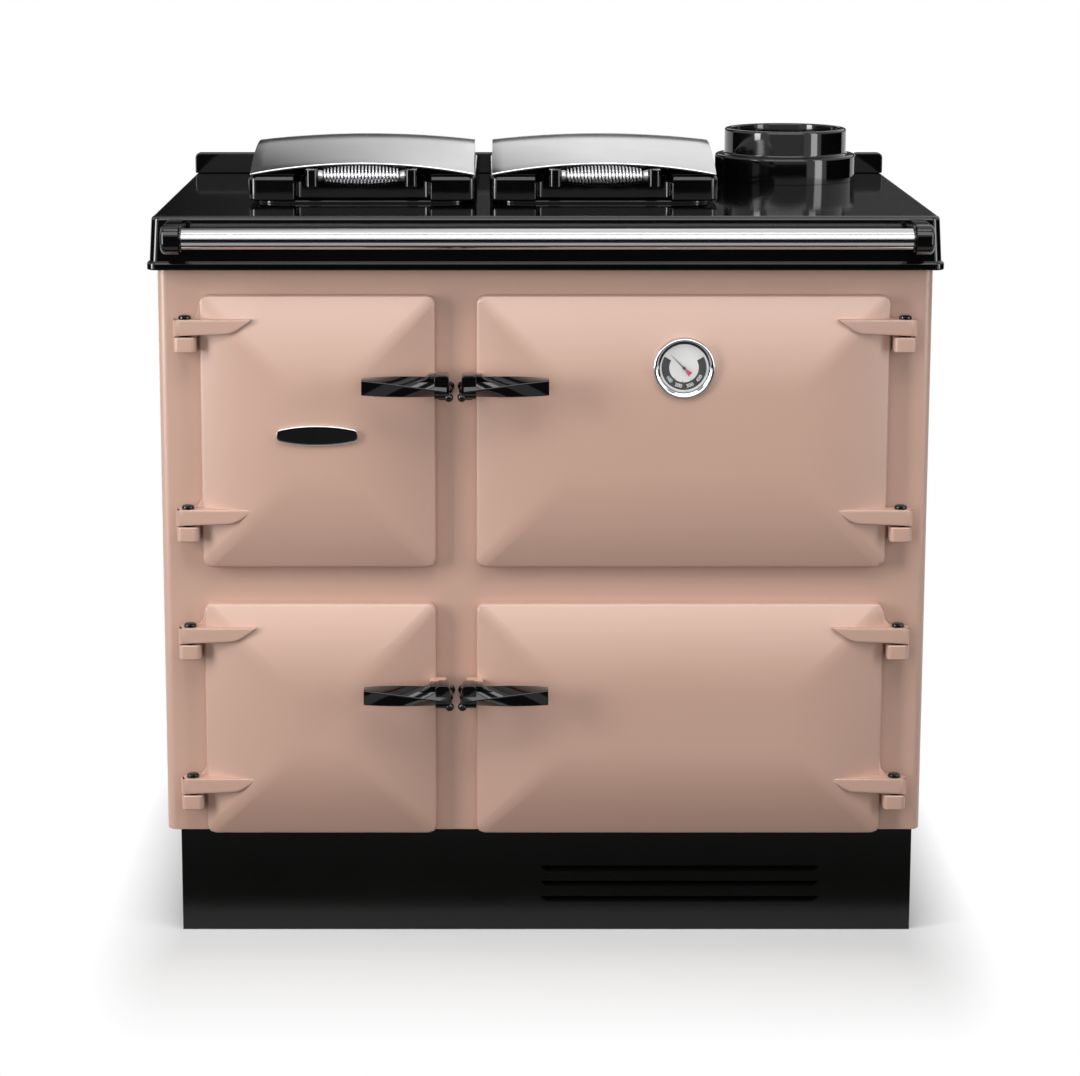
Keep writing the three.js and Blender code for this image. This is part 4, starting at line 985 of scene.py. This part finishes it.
# %% The steel domes
DOME_FOOT = 965.3
for name, middle in LIDS.items():
    dome = lifted_grid("steel_dome_" + name, middle, DOME_HALF, LID_FRONT, LID_BACK, 0, 13.5)
    front_edge = on_border(dome, lambda a, b: max(a[1], b[1]) < LID_FRONT + 0.5)
    turn_down(dome, DOME_FOOT, on_border(dome, lambda a, b: max(a[1], b[1]) > LID_FRONT + 0.5))
    pick(dome, "EDGE", front_edge)
    for run in ((0, -0.5, -1.2), (0, 0.5, -1.6), (0, 2.4, -0.8)):
        pushed(Vector(run) * mm)
    leave()
    merged(dome, 0.02)
    outwards(dome)
    modifier(dome, "SOLIDIFY", thickness=2 * mm, offset=-1)
    soften(dome, 0.7, 2, 40)
    finished(dome, name + "_lid", dome_steel, "lid_dome_" + name, "bright_steel", 40)

# %% The black castings under them
LID_LOW, LID_BASE = 932.3, 965
RECESS_HALF, RECESS_BACK = 86, LID_FRONT + 25
POST_FRONT, POST_LOW = 111, 953
for name, middle in LIDS.items():
    body = block("lid_casting_" + name, middle - LID_HALF, middle + LID_HALF, LID_FRONT, LID_BACK, LID_LOW, LID_BASE)
    rounded(body, 12, 7, lying(depth=LID_FRONT, along=2))
    rounded(body, 14, 6, lying(depth=LID_BACK, along=2))
    rounded(body, 7, 5, lying(z=LID_BASE))
    recess = block("recess", middle - RECESS_HALF, middle + RECESS_HALF, LID_FRONT - 20, RECESS_BACK, 920, 1000)
    cut_out(body, rounded(recess, 11, 6, lying(depth=RECESS_BACK, along=2)))
    pocket = block("pocket", middle - 120, middle + 120, 180, 445, 920, 956)
    cut_out(body, rounded(pocket, 9, 4, lying(z=956)))
    soften(body, 3, 4, 50)
    core = lifted_grid("core", middle, DOME_HALF - 3, LID_FRONT + 11, LID_BACK - 3, 2.6, 12)
    turn_down(core, LID_BASE - 4, on_border(core, everywhere))
    pick(core, "EDGE", on_border(core, everywhere))
    bpy.ops.mesh.edge_face_add()
    leave()
    outwards(core)
    cut_out(core, block("hollow", middle - RECESS_HALF, middle + RECESS_HALF, LID_FRONT, RECESS_BACK, 950, 1020))
    extras = [core]
    for hand in (-1, 1):
        post = block("post", middle + hand * 55, middle + hand * 70, POST_FRONT, RECESS_BACK + 2, POST_LOW, 974.5)
        rounded(post, 5.5, 5, lying(depth=POST_FRONT, along=2))
        rounded(post, 8, 5, lying(depth=POST_FRONT, z=POST_LOW, along=0))
        ear = block("ear", middle + hand * 58, middle + hand * 82, LID_BACK - 4, LID_AXIS[0] + EAR,
                    LID_AXIS[1] - EAR, LID_AXIS[1] + EAR)
        rounded(ear, EAR - 0.2, 8, lying(depth=LID_AXIS[0] + EAR, along=0))
        extras += [soften(post, 3.4, 4), soften(ear, 1)]
    join(body, *extras)
    finished(body, name + "_lid", lid_enamel, "lid_body_" + name, "lid_casting", flats=True)

# %% [markdown]
# The grip stays cool because a spring is wound round its rod. The spring is barrel-shaped: wide in the middle and
# narrow at both ends. A curve draws it exactly, and turning the curve into a mesh gives it a round wire.

# %% The grips
GRIP = (125, 965.5)
TURNS, PER_TURN = 22, 28
WIRE = 1.3  # half the wire's thickness
COIL_HALF, COIL_END, COIL_SWELL = 48, 7, 4.9


def spring(name, middle):
    curve = bpy.data.curves.new(name, "CURVE")
    curve.dimensions = "3D"
    curve.bevel_depth = WIRE * mm
    curve.bevel_resolution = 3
    curve.use_fill_caps = True
    line = curve.splines.new("POLY")
    line.points.add(TURNS * PER_TURN)
    for i, point in enumerate(line.points):
        share = i / (TURNS * PER_TURN)
        radius = COIL_END + COIL_SWELL * sin(pi * share) ** 0.6
        turn = 2 * pi * TURNS * share
        x = middle + COIL_HALF * (2 * share - 1)
        point.co = (*at(x, GRIP[0] + radius * cos(turn), GRIP[1] + radius * sin(turn)), 1)
    coil = bpy.data.objects.new(name, curve)
    scene.collection.objects.link(coil)
    only(coil)
    bpy.ops.object.convert(target="MESH")
    coil = settled(name)
    merged(coil, 0.02)
    return coil


ROD = [(0, -61), (4.5, -61), (4.5, -55), (7, -55), (7.6, -54.2), (7.2, -50), (5.2, -46.5), (4.5, -46)]
SPINDLE_END = [(0, -105), (3.5, -104.6), (5.4, -103.4), (5.8, -101.8), (5.6, -100.6), (4, -100.6)]


def both_ends(half):
    """A profile that is the same at both ends, from its first half."""
    return half + [(radius, -along) for radius, along in reversed(half)]


for name, middle in LIDS.items():
    finished(spring("wound_spring_" + name, middle), name + "_lid", bright_chrome, "grip_coil_" + name,
             "bright_steel", 60)
    rod = turned("ferruled_rod_" + name, both_ends(ROD), at(middle, *GRIP), 0, 32)
    finished(rod, name + "_lid", bare_steel, "grip_rod_" + name)
    spindle = turned("lid_spindle_" + name, both_ends(SPINDLE_END), at(middle, *LID_AXIS), 0, 28)
    finished(spindle, "cooker", bare_steel, "lid_hinge_pin_" + name)

# %% [markdown]
# ## Thermometer and badge
#
# The thermometer is a bright ring that slopes in to a white plate. The plate is printed: a dark band runs round the
# bottom, with small figures on it. Printing has no thickness, so the band is drawn by the material from the distance
# and angle to the plate's middle. The badge stays bare: a bright rim round a black field.

# %% The thermometer's ring and plate
dial_centre = at(DIAL[0], 0, DIAL[1])
RING = [(38, 1.7), (38, -18), *arc(35.4, -19.4, 2.6, 0, -110, 6), (30.8, -18.6), (30.2, -17.8), (30.2, -12.9),
        (36, -12.9), (36, 1.7), (38, 1.7)]
finished(turned("thermometer_ring", RING, dial_centre, 1, 72), "upper_right_door", bright_chrome, "dial_bezel",
         "bright_steel")
PLATE = [(0, -12.7), (30.4, -12.7), (34.6, -12.5), (34.6, -11), (0, -11)]
PLATE_STUD = [(0, -16.9), (0.8, -16.8), (1.2, -16.4), (1.2, -12), (0, -12)]
plate = join(turned("thermometer_plate", PLATE, dial_centre, 1, 72), turned("stud", PLATE_STUD, dial_centre, 1, 16))

# %% The printing
BAND_IN, BAND_OUT, BAND_HALF = 18.1, 27.7, radians(120)
MARK_IN, MARK_OUT, MARK_STEP, MARKS_HALF = 16.2, 18.3, radians(17.5), radians(60)
print_white = (0.50, 0.49, 0.48)
print_black = (0.012, 0.014, 0.014)


def printed_plate():
    made = finish("printed_plate", print_white, print_white, (0.35, 0.42), 0.002, 0.02, 0.00001)
    tree = made.node_tree
    surface = next(n for n in tree.nodes if n.type == "BSDF_PRINCIPLED")
    moved = node(tree, "Mapping", {"Location": -dial_centre, "Vector": spot(tree)}, vector_type="POINT")
    parts = node(tree, "SeparateXYZ", {0: moved.outputs[0]})
    x, z = parts.outputs["X"], parts.outputs["Z"]
    radius = maths(tree, "SQRT", maths(tree, "ADD", times(tree, x, x), times(tree, z, z)))
    angle = maths(tree, "ARCTAN2", x, times(tree, z, -1))
    spread = maths(tree, "ABSOLUTE", angle)

    def between(value, low, high, blur):
        rise = ranged(tree, value, 0, 1, low - blur, low + blur)
        return times(tree, rise, ranged(tree, value, 0, 1, high + blur, high - blur))

    ring = between(radius, BAND_IN * mm, BAND_OUT * mm, 0.1 * mm)
    band = times(tree, ring, between(spread, -1, BAND_HALF, 0.004))
    marks = between(maths(tree, "PINGPONG", maths(tree, "ADD", angle, 8 * pi), MARK_STEP), -1, 0.02, 0.006)
    marks = times(tree, marks, between(radius, MARK_IN * mm, MARK_OUT * mm, 0.1 * mm))
    marks = times(tree, marks, between(spread, -1, MARKS_HALF, 0.01))
    printed = mixed(tree, maths(tree, "MAXIMUM", band, marks), print_white, print_black)
    feed(tree, surface.inputs["Base Color"], printed)
    return made


finished(plate, "upper_right_door", printed_plate(), "dial_face", "dial_paint")

# %% The figures on the plate
FIGURE_RING, FIGURE_SIZE = 22.9, 6.2
figure_paint = finish("figure_paint", (0.7, 0.7, 0.68), (0.62, 0.62, 0.6), (0.35, 0.45), 0.001, 0.01, 0.000005)
for text, angle in (("100", 218), ("200", 253), ("300", 289), ("400", 325)):
    deselect()
    turn = radians(angle)
    bpy.ops.object.text_add()
    figure = bpy.context.object
    figure.data.body = text
    figure.data.size = FIGURE_SIZE * mm
    figure.data.align_x, figure.data.align_y = "CENTER", "CENTER"
    figure.data.extrude = 0.06 * mm
    figure.location = at(DIAL[0] + FIGURE_RING * cos(turn), -12.72, DIAL[1] + FIGURE_RING * sin(turn))
    figure.rotation_euler = (radians(90), radians(-90) - turn, 0)
    bpy.ops.object.convert(target="MESH")
    figure = settled("figure_" + text)
    merged(figure, 0.001)
    paint(figure, figure_paint)
    handed_over(figure, "upper_right_door", "dial_paint")

# %% The pointer
NEEDLE_TURN = radians(135)
BOSS = [(0, -17), (1.5, -16.9), (2, -16.5), (2, -15.6), (0, -15.6)]
needle_black = finish("needle_black", grey(0.02), grey(0.01), (0.3, 0.4), 0.002, 0.01, 0.000005)
needle_red = finish("needle_red", (0.42, 0.02, 0.075), (0.36, 0.015, 0.06), (0.3, 0.4), 0.002, 0.01, 0.000005)


def blade(name, length0, length1, width0, width1):
    """A flat tapered strip along the pointer, from one distance to another, with its two widths."""
    made = block(name, DIAL[0] + length0, DIAL[0] + length1, -16.5, -15.7, DIAL[1] - 0.5, DIAL[1] + 0.5)
    for length, width in ((length0, width0), (length1, width1)):
        pick(made, "EDGE", lying(x=DIAL[0] + length))
        stretched((1, 1, width), at(DIAL[0], -16, DIAL[1]))
        leave()
    pick(made, "FACE", everywhere)
    bpy.ops.transform.rotate(value=NEEDLE_TURN, orient_axis="Y", center_override=dial_centre)
    leave()
    return made


pointer = join(blade("pointer", -2.5, 23.5, 1.5, 0.35), turned("boss", BOSS, dial_centre, 1, 24))
tail = blade("tail", -11, -2, 6.4, 1.2)
paint(pointer, needle_black)
paint(tail, needle_red)
join(pointer, tail)
pointer.name = pointer.data.name = "thermometer_pointer"
smooth(pointer)
handed_over(pointer, "needle", "needle_black", "dial_needle")

# %% The glass
clear_glass = bpy.data.materials.new("clear_glass")
tree = tree_of(clear_glass)
smears = node(tree, "TexNoise", {"Scale": 90, "Vector": spot(tree)}).outputs[0]
put_out(tree, node(tree, "BsdfPrincipled", {"Base Color": (0.97, 0.98, 0.98, 1), "Transmission Weight": 1,
                                            "IOR": 1.12, "Roughness": ranged(tree, smears, 0, 0.03)}))
GLASS = [(0, -19.4), (14, -19.3), (24, -19), (30.1, -18.6), (30.1, -17.4), (0, -17.4)]
finished(turned("thermometer_glass", GLASS, dial_centre, 1, 64), "upper_right_door", clear_glass, "dial_glass",
         "dial_glass")

# %% The bare badge
BADGE = (-281.5, 658.5)
BADGE_HALF, BADGE_FRONT = 49.75, -20.8
badge_black = finish("badge_black", (0.008, 0.009, 0.009), grey(0.005), (0.14, 0.22), 0.003, 0.03, 0.00002)
badge = block("bare_badge", BADGE[0] - BADGE_HALF, BADGE[0] + BADGE_HALF, BADGE_FRONT, -17.2,
              BADGE[1] - 1, BADGE[1] + 1)
pick(badge, "EDGE", lying(along=0))
bpy.ops.mesh.subdivide(number_cuts=23)
leave()
for point in badge.data.vertices:
    x, _, z = measured(point.co)
    share = abs(x - BADGE[0]) / BADGE_HALF
    point.co.z = (BADGE[1] + (z - BADGE[1]) * (6.6 + 5.8 * (1 - share ** 2.2))) * mm
rounded(badge, 4, 5, lambda a, b: lying(along=1)(a, b) and abs(measured(a)[0] - BADGE[0]) > BADGE_HALF - 0.75)
pick(badge, "FACE", lying(along=(0, -1, 0)))
for thickness, depth in ((0.7, 0.35), (0.8, 0), (0.4, -1.0)):
    bpy.ops.mesh.inset(thickness=thickness * mm, depth=depth * mm)
leave()
paint(badge, bright_chrome, badge_black)
for face in badge.data.polygons:
    inner_field = face.normal.y < -0.99 and measured(face.center)[1] > BADGE_FRONT + 0.2
    face.material_index = 1 if inner_field else 0
smooth(badge, 30)
handed_over(badge, "upper_left_door", "badge_black", "badge_plate")

# %% [markdown]
# ## Finishes for what is left
#
# The panels, the plinth, the ovens and everything inside already have the right shape, so they keep it and get one of
# the finishes above.

# %% Paint the rest of the frame
hotplate_iron = finish("hotplate_iron", grey(0.13), grey(0.09), (0.32, 0.45), 0.002, 0.05, 0.00005,
                       grain=0.0008, share=0.6, Metallic=0.8)
REST = {
    body_enamel: ["side_panel_left", "side_panel_right"], plinth_paint: ["plinth"], zinc_sheet: ["back_panel"],
    dark_iron: ["base_plate", "firebox", "lower_compartment"], hotplate_iron: ["hotplate_left", "hotplate_right"],
    oven_enamel: ["main_oven", "lower_oven", *("door_liner_" + name for name in DOORS)],
    shelf_steel: ["main_oven_shelf", "lower_oven_shelf"],
}
for material, names in REST.items():
    for name in names:
        paint(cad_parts[name], material)
print(sum(len(names) for names in REST.values()), "nodes keep their shape")
